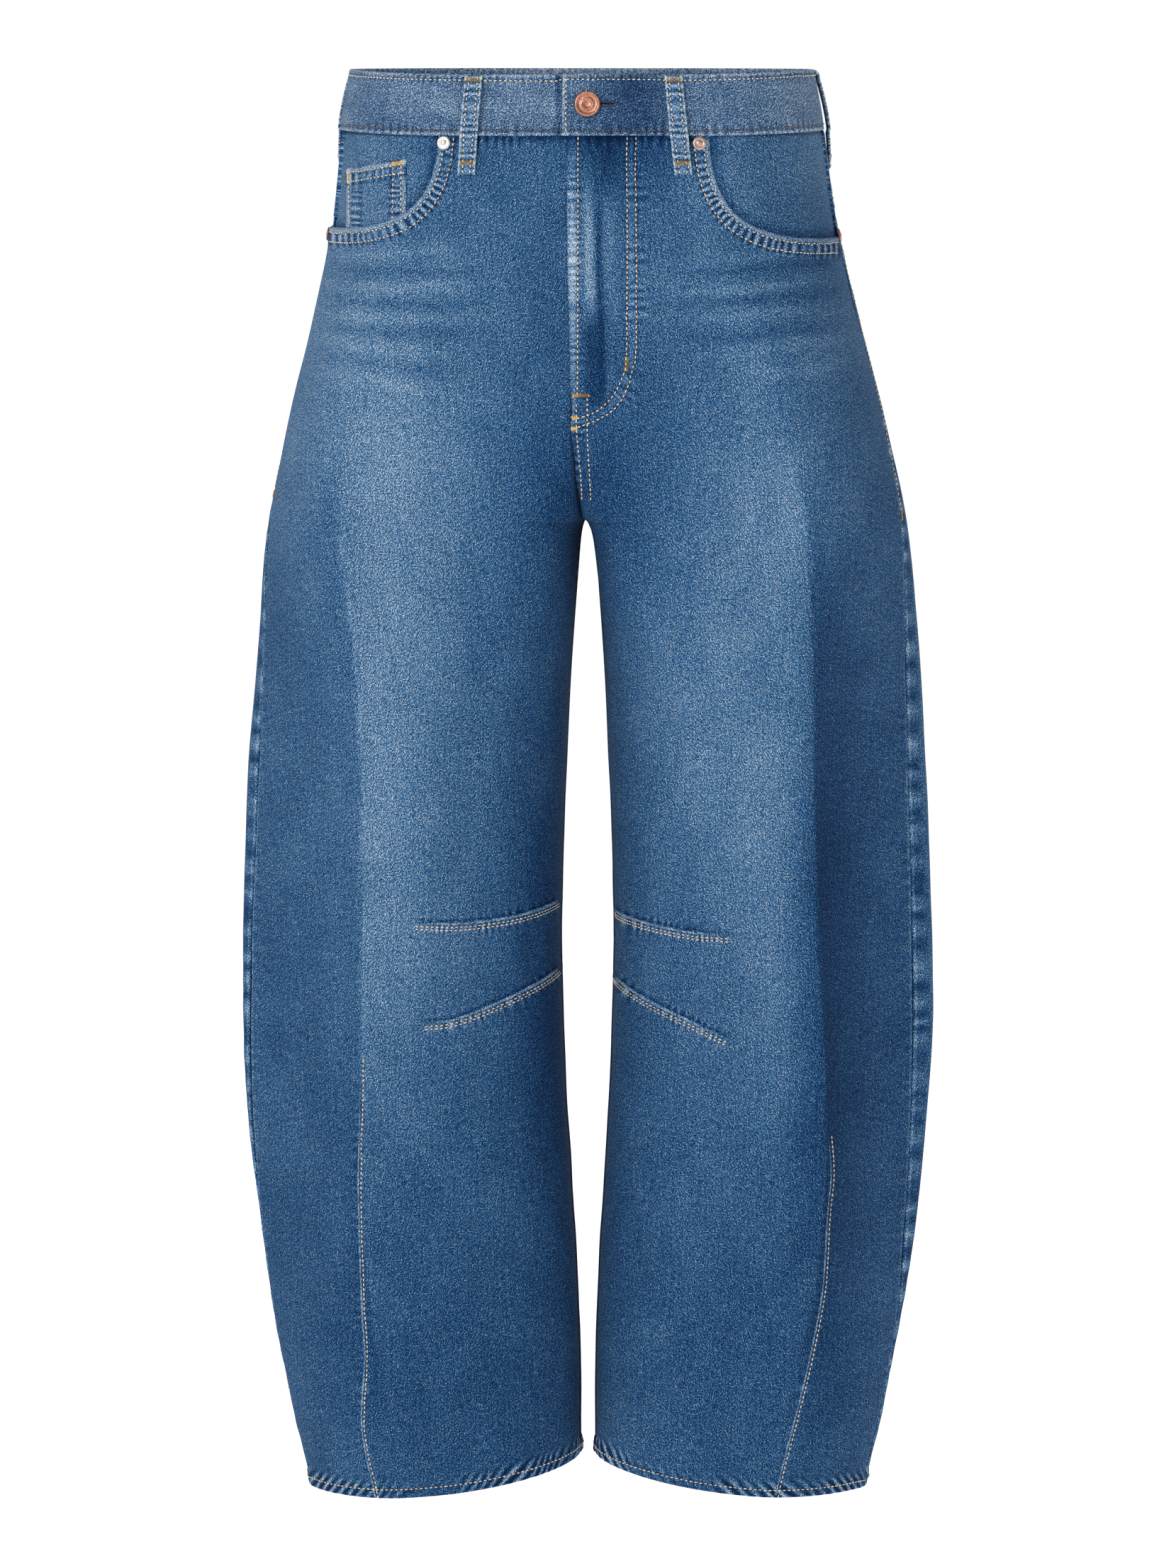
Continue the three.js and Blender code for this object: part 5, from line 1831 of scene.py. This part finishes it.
def make_welt(name, line):
    half = name.split("_")[-1]
    width, height = knee_welt if name.startswith("knee") else hem_welt
    across = np.linspace(-1, 1, 9)
    taper = np.sqrt(np.clip(1 - np.linspace(0, 1, len(line)) ** 6, 0.02, 1))
    sides = np.stack([beside(line, width * value) for value in across], axis=1)
    sides = line[:, None] + (sides - line[:, None]) * taper[:, None, None]
    distance, z = on_front(half, sides[..., 0], sides[..., 1])
    relief, _ = front_form(half, distance, z, distance)
    crown = np.sqrt(np.clip(1 - across**2, 0, 1)) * taper[:, None]
    run = line_step * np.arange(len(line))[:, None]
    ticks = wander(run / 4, 431) + 0 * across
    relief = relief + 0.05 + height * crown + 0.12 * ticks * crown
    shade = Shade(base_tone + 0.16 + 0.12 * ticks - 0.3 * (1 - crown))
    out = outward(half, distance, z)
    points = surface(half, distance, z) + out * relief[..., None]
    flat = pattern_place(half, "front", distance, z)
    cloth_piece(name, points, flat, shade, out[len(line) // 2, len(across) // 2], thickness=0)


for name, line in dart_nodes.items():
    make_welt(name, line)
print("dart welts:", len(dart_nodes))

# %% [markdown]
# Stitching. Thousands of stitches could be modelled by hand or painted, but a painted row has no height
# and a hand-placed one doesn't follow the seam. Here each row is a line laid on the finished cloth, and a
# Geometry Nodes tree sets one small tapered bead per stitch along it. A thin dark thread below each row
# paints the groove that the stitches pull into the cloth: the shade in it, and the indigo that stays dark
# at the needle holes.
# %% Lay lines on the cloth
stitch_pitch = 3.4
stitch_length = 2.5
thread_radius = 0.42
groove_radius = 0.46


def place_on(name, half, distance, z, reach=4.0):
    """The nearest places on a piece to points held reach above the form, each with its normal."""
    distance, z = np.broadcast_arrays(np.asarray(distance, float), np.asarray(z, float))
    spots = []
    for point in surface(half, distance, z) + reach * outward(half, distance, z):
        place, normal, _, _ = shells[name].find_nearest(Vector(point))
        spots.append([*place, *normal])
    return np.array(spots)


def seen_line(name, half, line):
    """A line drawn as seen from the front, laid on a front piece."""
    return place_on(name, half, *on_front(half, line[:, 0], line[:, 1]), reach=2.0)


def trimmed(line, top, bottom):
    return line[(line[:, 1] < top) & (line[:, 1] > bottom)]


def grid_line(name, reach, edge, top, bottom):
    """A line at a fixed distance from a panel's inner or outer edge, between two heights."""
    grid = grids[name]
    cloth = np.concatenate([grid["points"], grid["normals"]], axis=2)
    order = 1 if edge == "inner" else -1
    line = []
    for row, reaches, heights in zip(cloth, grid[edge], grid["z"]):
        place = [np.interp(reach, reaches[::order], row[::order, axis]) for axis in range(6)]
        height = np.interp(reach, reaches[::order], heights[::order])
        if bottom < height < top:
            line.append(place)
    return np.array(line)


def level_line(name, height):
    grid = grids[name]
    row = int(np.argmin(np.abs(grid["z"][:, grid["z"].shape[1] // 2] - height)))
    return np.concatenate([grid["points"][row], grid["normals"][row]], axis=1)


tan_rows, brown_rows, bars = [], [], []
mouth_rows_end = {"right": 171.5, "left": 173}
outseam_row = 2.3
outseam_foot = {"right": -285.0, "left": -297.0}


def sew_half(half):
    """The rows on the front and the back of one half, in tan thread."""
    sign, front, back = side_sign[half], f"front_{half}", f"back_{half}"
    for reach in (4.4, 10.9):
        line = trimmed(beside(mouths[half], -sign * reach), panel_top - 0.8, -200)
        tan_rows.append(seen_line(front, half, line[np.abs(line[:, 0]) < mouth_rows_end[half]]))
    for name in (front, back):
        tan_rows.append(level_line(name, hem + hem_row))
    for name in ("upper", "lower"):
        for reach in (2.6, 4.6):
            line = beside(knee_darts[f"{name}_{half}"], sign * -reach)
            tan_rows.append(seen_line(front, half, line))
    tan_rows.append(seen_line(front, half, beside(hem_darts[half], -1.9)))
    tan_rows.append(grid_line(back, outseam_row, "outer", -110, outseam_foot[half]))
    for reach in (2.0, 8.0):
        share = np.linspace(0.01, 0.99, 130)
        z = yoke_seam(half, yoke_width(half) * (1 - share)) - reach
        tan_rows.append(place_on(back, half, across_back(half, share, z), z, reach=2.0))


for half in side_sign:
    sew_half(half)
for row in (fly_row, fly_inner_row, fly_outer_row, *rise_rows):
    tan_rows.append(seen_line("front_left", "left", row))
for reach in (1.8, 8.2):
    tan_rows.append(grid_line("back_left", reach, "inner", yoke_centre - 2, crotch + 8))
print("rows so far:", len(tan_rows))

# %% [markdown]
# The band, the loops and the pockets are stitched along their own edges.
# %% Rows on the band, loops and pockets


def band_line(z):
    """A row all round the waistband at a height."""
    right = np.arange(3.0, float(measure("right", "total", z)), line_step)
    left = np.arange(float(measure("left", "total", z)), -2.5, -line_step)
    return np.vstack([place_on("waistband", "right", right, z), place_on("waistband", "left", left, z)])


tan_rows.append(band_line(-3.6))
brown_rows.append(band_line(-38.0))
tan_rows.append(place_on("waistband", "left", -2.2, np.linspace(-4, -37.5, 24)))


def sew_loop(name):
    """Two rows along a loop, and a bar at its head and at its foot."""
    share = np.linspace(0.03, 0.97, 46)
    z = loop_top + loop_length * -share
    half, middle = loop_place(name, share, z)
    for aside in (-3.3, 3.3):
        tan_rows.append(place_on(name, half, middle + aside, z, reach=6.0))
    for end in (0.045, 0.885):
        height = np.full(9, loop_top + loop_length * -end)
        middle = loop_place(name, end, height)[1]
        bars.append(place_on(name, half, middle + np.linspace(-4.6, 4.6, 9), height, reach=6.0))


def coin_line(*points):
    return seen_line("coin_pocket", "right", evenly(points, line_step))


def sew_back_pocket(half):
    """Two rows round the pocket's sides and foot, and two along its mouth."""
    name = f"back_pocket_{half}"
    for reach in (2.0, 8.0):
        side, foot = reach / pocket_width, 1 - reach / pocket_height
        down, across = np.linspace(0.03, foot, 44), np.linspace(side, 1 - side, 60)
        share = np.concatenate([0 * down + side, across, 0 * down + 1 - side])
        downs = np.concatenate([down, 0 * across + foot, down[::-1]])
        tan_rows.append(place_on(name, half, *pocket_place(half, share, downs)[:2]))
    for reach in (first_row, second_row):
        from_centre = np.linspace(pocket_inner + 1, pocket_inner + pocket_width - 1, 90)
        z = yoke_seam(half, from_centre) - pocket_below - reach
        tan_rows.append(place_on(name, half, measure(half, "total", z) - from_centre, z))


for name in loop_names:
    sew_loop(name)
tan_rows.append(coin_line((-159.5, -69.6), (-119.5, -62.3)))
tan_rows.append(coin_line((-159.5, -75.4), (-119.5, -68.2)))
tan_rows.append(coin_line((-121.2, -60.5), (-121.8, -96)))
tan_rows.append(coin_line((-126.8, -61.5), (-127.4, -98)))
tan_rows.append(coin_line((-158.8, -69), (-157.6, -101)))
for half in side_sign:
    sew_back_pocket(half)
print("rows:", len(tan_rows), "bars:", len(bars))

# %% [markdown]
# Bartacks are short dense bars of thread where a seam has to hold: at both ends of each loop, on the fly,
# at the coin pocket's corners and at the foot of the outseam stitching. Each is a tight zigzag line.
# %% Bartacks and the buttonhole
bar_width = 2.4
bar_pitch = 0.55
bar_ends = {
    ("front_left", "left"): [
        [(30.0, -190.0), (29.8, -198.5)],
        [(-5.0, -215.5), (5.4, -215.0)],
        [(-8.0, -229.5), (-1.5, -230.6)],
        [(-7.0, -237.0), (-1.5, -237.4)],
    ],
    ("coin_pocket", "right"): [
        [(-158.8, -69.5), (-158.4, -76.5)],
        [(-127.6, -62.4), (-120.8, -61.2)],
    ],
}
for (name, half), lines in bar_ends.items():
    bars.extend(seen_line(name, half, evenly(line, 1.0)) for line in lines)
for half, foot in outseam_foot.items():
    bars.append(grid_line(f"back_{half}", outseam_row, "outer", foot + 1, foot - 9))


def zigzag(line):
    """A dense zigzag over a short line, square to it along the cloth."""
    line = evenly(line, bar_pitch / 2)
    way, out = unit(np.gradient(line[:, :3], axis=0)), unit(line[:, 3:])
    across = unit(np.cross(way, out))
    swing = np.where(np.arange(len(line)) % 2 == 0, 1, -1)[:, None] * bar_width / 2
    return np.concatenate([line[:, :3] + across * swing, out], axis=1)


edge_over, edge_under = button_z + 1.3, button_z - 1.3
slit = [(hole_from + 5, edge_over), (hole_to + 0.6, edge_over), (hole_to + 1.6, button_z)]
slit += [(hole_to + 0.6, edge_under), (hole_from + 5, edge_under)]
slit = evenly(slit, 0.5)
hole_edge = place_on("waistband", "left", slit[:, 0], slit[:, 1])
print("bars:", len(bars), "buttonhole points:", len(slit))

# %% [markdown]
# Two trees: one sets stitches along lines, and one turns lines into thread. Each ends with real meshes
# and their material, because instances would be lost when the piece is carried into another program.
# %% Stitch and thread trees


def socket_id(tree, label):
    for item in tree.interface.items_tree:
        if item.name == label and item.in_out == "INPUT":
            return item.identifier
    raise KeyError(label)


geometry_out = [("Geometry", "NodeSocketGeometry")]
# A Random Value node has sockets for every kind of value: these are its lowest and highest number and
# the number that comes out.
number_low, number_high, number_result = 2, 3, 1


def finished(tree, given, result, geometry):
    """The last steps of both trees: real meshes, smooth, in the given thread."""
    real = add_node(tree, "GeometryNodeRealizeInstances", {"Geometry": geometry}).outputs[0]
    smooth = add_node(tree, "GeometryNodeSetShadeSmooth", {"Geometry": real}).outputs[0]
    inputs = {"Geometry": smooth, "Material": given.outputs["Thread"]}
    tree.links.new(add_node(tree, "GeometryNodeSetMaterial", inputs).outputs[0], result.inputs[0])


def stitch_tree():
    inputs = [
        ("Geometry", "NodeSocketGeometry", None),
        ("Pitch", "NodeSocketFloat", stitch_pitch * mm),
        ("Stitch Length", "NodeSocketFloat", stitch_length * mm),
        ("Thread Radius", "NodeSocketFloat", thread_radius * mm),
        ("Seed", "NodeSocketInt", 7),
        ("Thread", "NodeSocketMaterial", None),
    ]
    tree, given, result = new_group("Stitches", "GeometryNodeTree", inputs, geometry_out)

    def step(kind, inputs=None, output=0, **settings):
        return add_node(tree, kind, inputs, **settings).outputs[output]

    line = step("GeometryNodeMeshToCurve", {"Mesh": given.outputs["Geometry"]})
    spacing = {"Curve": line, "Length": given.outputs["Pitch"]}
    even_line = step("GeometryNodeResampleCurve", spacing, mode="LENGTH")
    bead = step("GeometryNodeMeshIcoSphere", {"Radius": 1.0, "Subdivisions": 1})
    half_length = maths(tree, "MULTIPLY", given.outputs["Stitch Length"], 0.5)
    radius = given.outputs["Thread Radius"]
    size = step("ShaderNodeCombineXYZ", {"X": half_length, "Y": radius, "Z": radius})
    shaped = step("GeometryNodeTransform", {"Geometry": bead, "Scale": size})
    way = step("GeometryNodeInputTangent")
    turn = step("FunctionNodeAlignRotationToVector", {"Vector": way}, axis="X")
    sizes = {"Seed": given.outputs["Seed"], number_low: 0.86, number_high: 1.12}
    vary = step("FunctionNodeRandomValue", sizes, output=number_result, data_type="FLOAT")
    placing = {"Points": even_line, "Instance": shaped, "Rotation": turn, "Scale": vary}
    finished(tree, given, result, step("GeometryNodeInstanceOnPoints", placing))
    return tree


def thread_tree():
    inputs = [
        ("Geometry", "NodeSocketGeometry", None),
        ("Thread Radius", "NodeSocketFloat", groove_radius * mm),
        ("Sides", "NodeSocketInt", 4),
        ("Thread", "NodeSocketMaterial", None),
    ]
    tree, given, result = new_group("Thread", "GeometryNodeTree", inputs, geometry_out)
    line = add_node(tree, "GeometryNodeMeshToCurve", {"Mesh": given.outputs["Geometry"]}).outputs[0]
    sizes = {"Resolution": given.outputs["Sides"], "Radius": given.outputs["Thread Radius"]}
    ring = add_node(tree, "GeometryNodeCurvePrimitiveCircle", sizes).outputs[0]
    sweep = {"Curve": line, "Profile Curve": ring, "Fill Caps": True}
    finished(tree, given, result, add_node(tree, "GeometryNodeCurveToMesh", sweep).outputs[0])
    return tree


stitches = stitch_tree()
threads = thread_tree()
print("trees:", stitches.name, threads.name)

# %% [markdown]
# A row becomes a mesh of edges, the tree runs on it once, and the result is kept as a plain mesh.
# %% Sew
stitch_pieces = {}


def sewn(name, lines, tree, look, lift, **sizes):
    """Runs a tree on lines raised by lift over the cloth, and keeps the result as a plain mesh."""
    points, edges = [], []
    for line in lines:
        if len(line) < 2:
            continue
        first = len(points)
        points.extend(((line[:, :3] + lift * line[:, 3:]) * mm).tolist())
        edges.extend((first + k, first + k + 1) for k in range(len(line) - 1))
    mesh = bpy.data.meshes.new(f"{name}_lines")
    mesh.from_pydata(points, edges, [])
    piece = bpy.data.objects.new(name, mesh)
    bpy.context.scene.collection.objects.link(piece)
    modifier = piece.modifiers.new("sew", "NODES")
    modifier.node_group = tree
    modifier[socket_id(tree, "Thread")] = look
    for label, value in sizes.items():
        modifier[socket_id(tree, label.replace("_", " "))] = value
    evaluated = piece.evaluated_get(bpy.context.evaluated_depsgraph_get())
    made = bpy.data.meshes.new_from_object(evaluated)
    piece.modifiers.clear()
    piece.data = made
    stitch_pieces[name] = piece
    print(name, len(made.polygons), "faces")
    return piece


groove_shade_rows = tan_rows + brown_rows
sewn("tan_stitches", tan_rows, stitches, tan_thread, 0.34, Seed=7)
sewn("brown_stitches", brown_rows, stitches, brown_thread, 0.3, Seed=8)
# Painted shade: a dark thread in the groove under every row.
sewn("stitch_groove_shade", groove_shade_rows, threads, navy_thread, -0.2)
sewn("bartacks", [zigzag(bar) for bar in bars], threads, gold_thread, 0.35, Thread_Radius=0.36 * mm)
sewn("buttonhole_thread", [hole_edge], threads, navy_thread, 0.15, Thread_Radius=0.55 * mm)

# %% [markdown]
# The shank button and the pocket rivets are turned metal, pressed through the cloth. Boxes or cylinders
# would look too sharp, so each is a worn profile spun round its own axis. The button's rim is a plain ring.
# %% Button and rivets


def turned(name, profile, segments, half, distance, z, stand, look):
    """Spins a profile of radius and height, and stands it on the cloth."""
    profile = np.array(profile, float)
    angles = np.linspace(0, 2 * math.pi, segments, endpoint=False)
    place, up = surface(half, distance, z), outward(half, distance, z)
    across = unit(np.cross(up, [0, 0, 1]))
    away = np.cross(up, across)
    circle = np.cos(angles)[:, None] * across + np.sin(angles)[:, None] * away
    rings = [place + up * (stand + height) + radius * circle for radius, height in profile[1:-1]]
    foot, head = [place + up * (stand + height) for height in profile[[0, -1], 1]]
    faces = []
    for n in range(segments):
        after = (n + 1) % segments
        faces.append([0, 1 + after, 1 + n])
        for low in range(1, 1 + (len(rings) - 1) * segments, segments):
            high = low + segments
            faces.append([low + n, low + after, high + after, high + n])
        top = 1 + (len(rings) - 1) * segments
        faces.append([top + n, top + after, top + segments])
    return from_faces(name, np.vstack([foot, *rings, head]), faces, [look])


# Each profile is a list of radius and height, from its foot on the axis to its crown on the axis.
button_radius = 8.7
button_shank = [(0, -4.4), (2.6, -4.4), (2.6, 0), (8.0, 0.05), (8.45, 0.35), (button_radius, 0.9)]
button_rim = [(button_radius, 1.4), (8.5, 1.9), (8.1, 2.25), (7.6, 2.35), (7.1, 2.25), (6.8, 1.95)]
button_ring = [(6.4, 1.65), (5.4, 1.6), (4.6, 1.65), (4.2, 1.9), (3.8, 2.1), (3.3, 2.05)]
button_middle = [(2.9, 1.7), (2.2, 1.35), (1.2, 1.25), (0, 1.3)]
button_profile = button_shank + button_rim + button_ring + button_middle
rivet_rim = [(0, 0), (4.4, 0), (4.7, 0.25), (4.7, 0.55), (4.4, 0.95), (3.9, 1.2), (3.3, 1.3)]
rivet_middle = [(2.7, 1.15), (2.2, 0.95), (1.9, 1.15), (1.6, 1.5), (1.1, 1.68), (0, 1.72)]
rivet_profile = rivet_rim + rivet_middle
button_stand = band_stand + band_step + 0.7
inner_rivet_z, inner_rivet_stand = -46.0, 1.1
side_rivet_z, side_rivet_stand, side_rivet_in = -112.0, 0.9, 5
inner_rivet_places = {"right": 84.0, "left": 86.5}
inner_looks = {"right": nickel, "left": rubbed_nickel}
turned("button", button_profile, 48, "left", button_from_middle, button_z, button_stand, copper)
for half in side_sign:
    spot = (half, inner_rivet_places[half], inner_rivet_z, inner_rivet_stand)
    turned(f"rivet_inner_{half}", rivet_profile, 28, *spot, inner_looks[half])
    spot = (half, measure(half, "seam", side_rivet_z) - side_rivet_in, side_rivet_z, side_rivet_stand)
    turned(f"rivet_side_{half}", rivet_profile, 28, *spot, copper)
print("button", round(2 * button_radius, 1), "mm across")

# %% [markdown]
# What can't be seen still belongs: the zip and its shield behind the fly are the tailor's own solids,
# with their own cloth. The CAD meshes carry no UV map, so this cloth reads Object coordinates.
# %% Behind the fly
for name in ("zip", "fly_shield"):
    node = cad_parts[name]
    node.data.materials.clear()
    node.data.materials.append(tape_cloth)
print("kept from the frame: zip, fly_shield")


for name, piece in pieces.items():
    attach(piece, "root")
    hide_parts(name)
for piece in stitch_pieces.values():
    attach(piece, "root")
print("declared:", len(pieces), "pieces,", len(cuts), "of them cloth")

# %% [markdown]
# The studio: a pale floor under white air, which lights the jeans softly from all round. One large soft
# light on the left gives the folds their shading, a weak one on the right fills them, and one behind
# shows the back. A wall behind would hide the jeans from other sides.
# %% Studio and light
floor_z = -1180.0
floor_reach = 30000.0
floor_glow, air_light = 0.8, 0.45
pale_grey, white = (0.6, 0.6, 0.6, 1), (1, 1, 1, 1)


def make_floor():
    """A plain floor that glows a little, so that it is as pale as the air behind it."""
    reaches = (-floor_reach, floor_reach)
    points = [(x * mm, y * mm, floor_z * mm) for x in reaches for y in reaches]
    mesh = bpy.data.meshes.new("floor")
    mesh.from_pydata(points, [], [[0, 2, 3, 1]])
    material, tree, shader = new_material("floor")
    finish = {"Base Color": pale_grey, "Roughness": 0.95}
    finish.update({"Emission Color": white, "Emission Strength": floor_glow})
    set_inputs(tree, shader, finish)
    mesh.materials.append(material)
    floor = bpy.data.objects.new("floor", mesh)
    bpy.context.scene.collection.objects.link(floor)
    return floor


def make_air():
    """White where the camera looks past the floor, and softer where it lights the cloth."""
    air = bpy.data.worlds.new("studio")
    air.use_nodes = True
    tree = air.node_tree
    seen = add_node(tree, "ShaderNodeLightPath").outputs["Is Camera Ray"]
    strength = maths(tree, "ADD", maths(tree, "MULTIPLY", seen, 1 - air_light), air_light)
    tree.links.new(strength, tree.nodes["Background"].inputs["Strength"])
    tree.nodes["Background"].inputs["Color"].default_value = white
    return air


def add_light(name, place, target, size, power):
    data = bpy.data.lights.new(name, "AREA")
    data.shape = "DISK"
    data.size = size
    data.energy = power
    light = bpy.data.objects.new(name, data)
    bpy.context.scene.collection.objects.link(light)
    light.location = Vector(place) * mm
    light.rotation_euler = (Vector(target) * mm - light.location).to_track_quat("-Z", "Y").to_euler()
    return light


make_floor()
bpy.context.scene.world = make_air()
bpy.context.scene.view_settings.view_transform = "Standard"
add_light("key", (-1700, -2700, 1300), (0, 0, -450), 1.3, 54)
add_light("fill", (1800, -2800, 200), (0, 0, -500), 2.0, 6)
add_light("back", (900, 3600, 900), (0, 0, -450), 2.4, 34)
print("floor", floor_z, "mm; lights: key, fill and back")
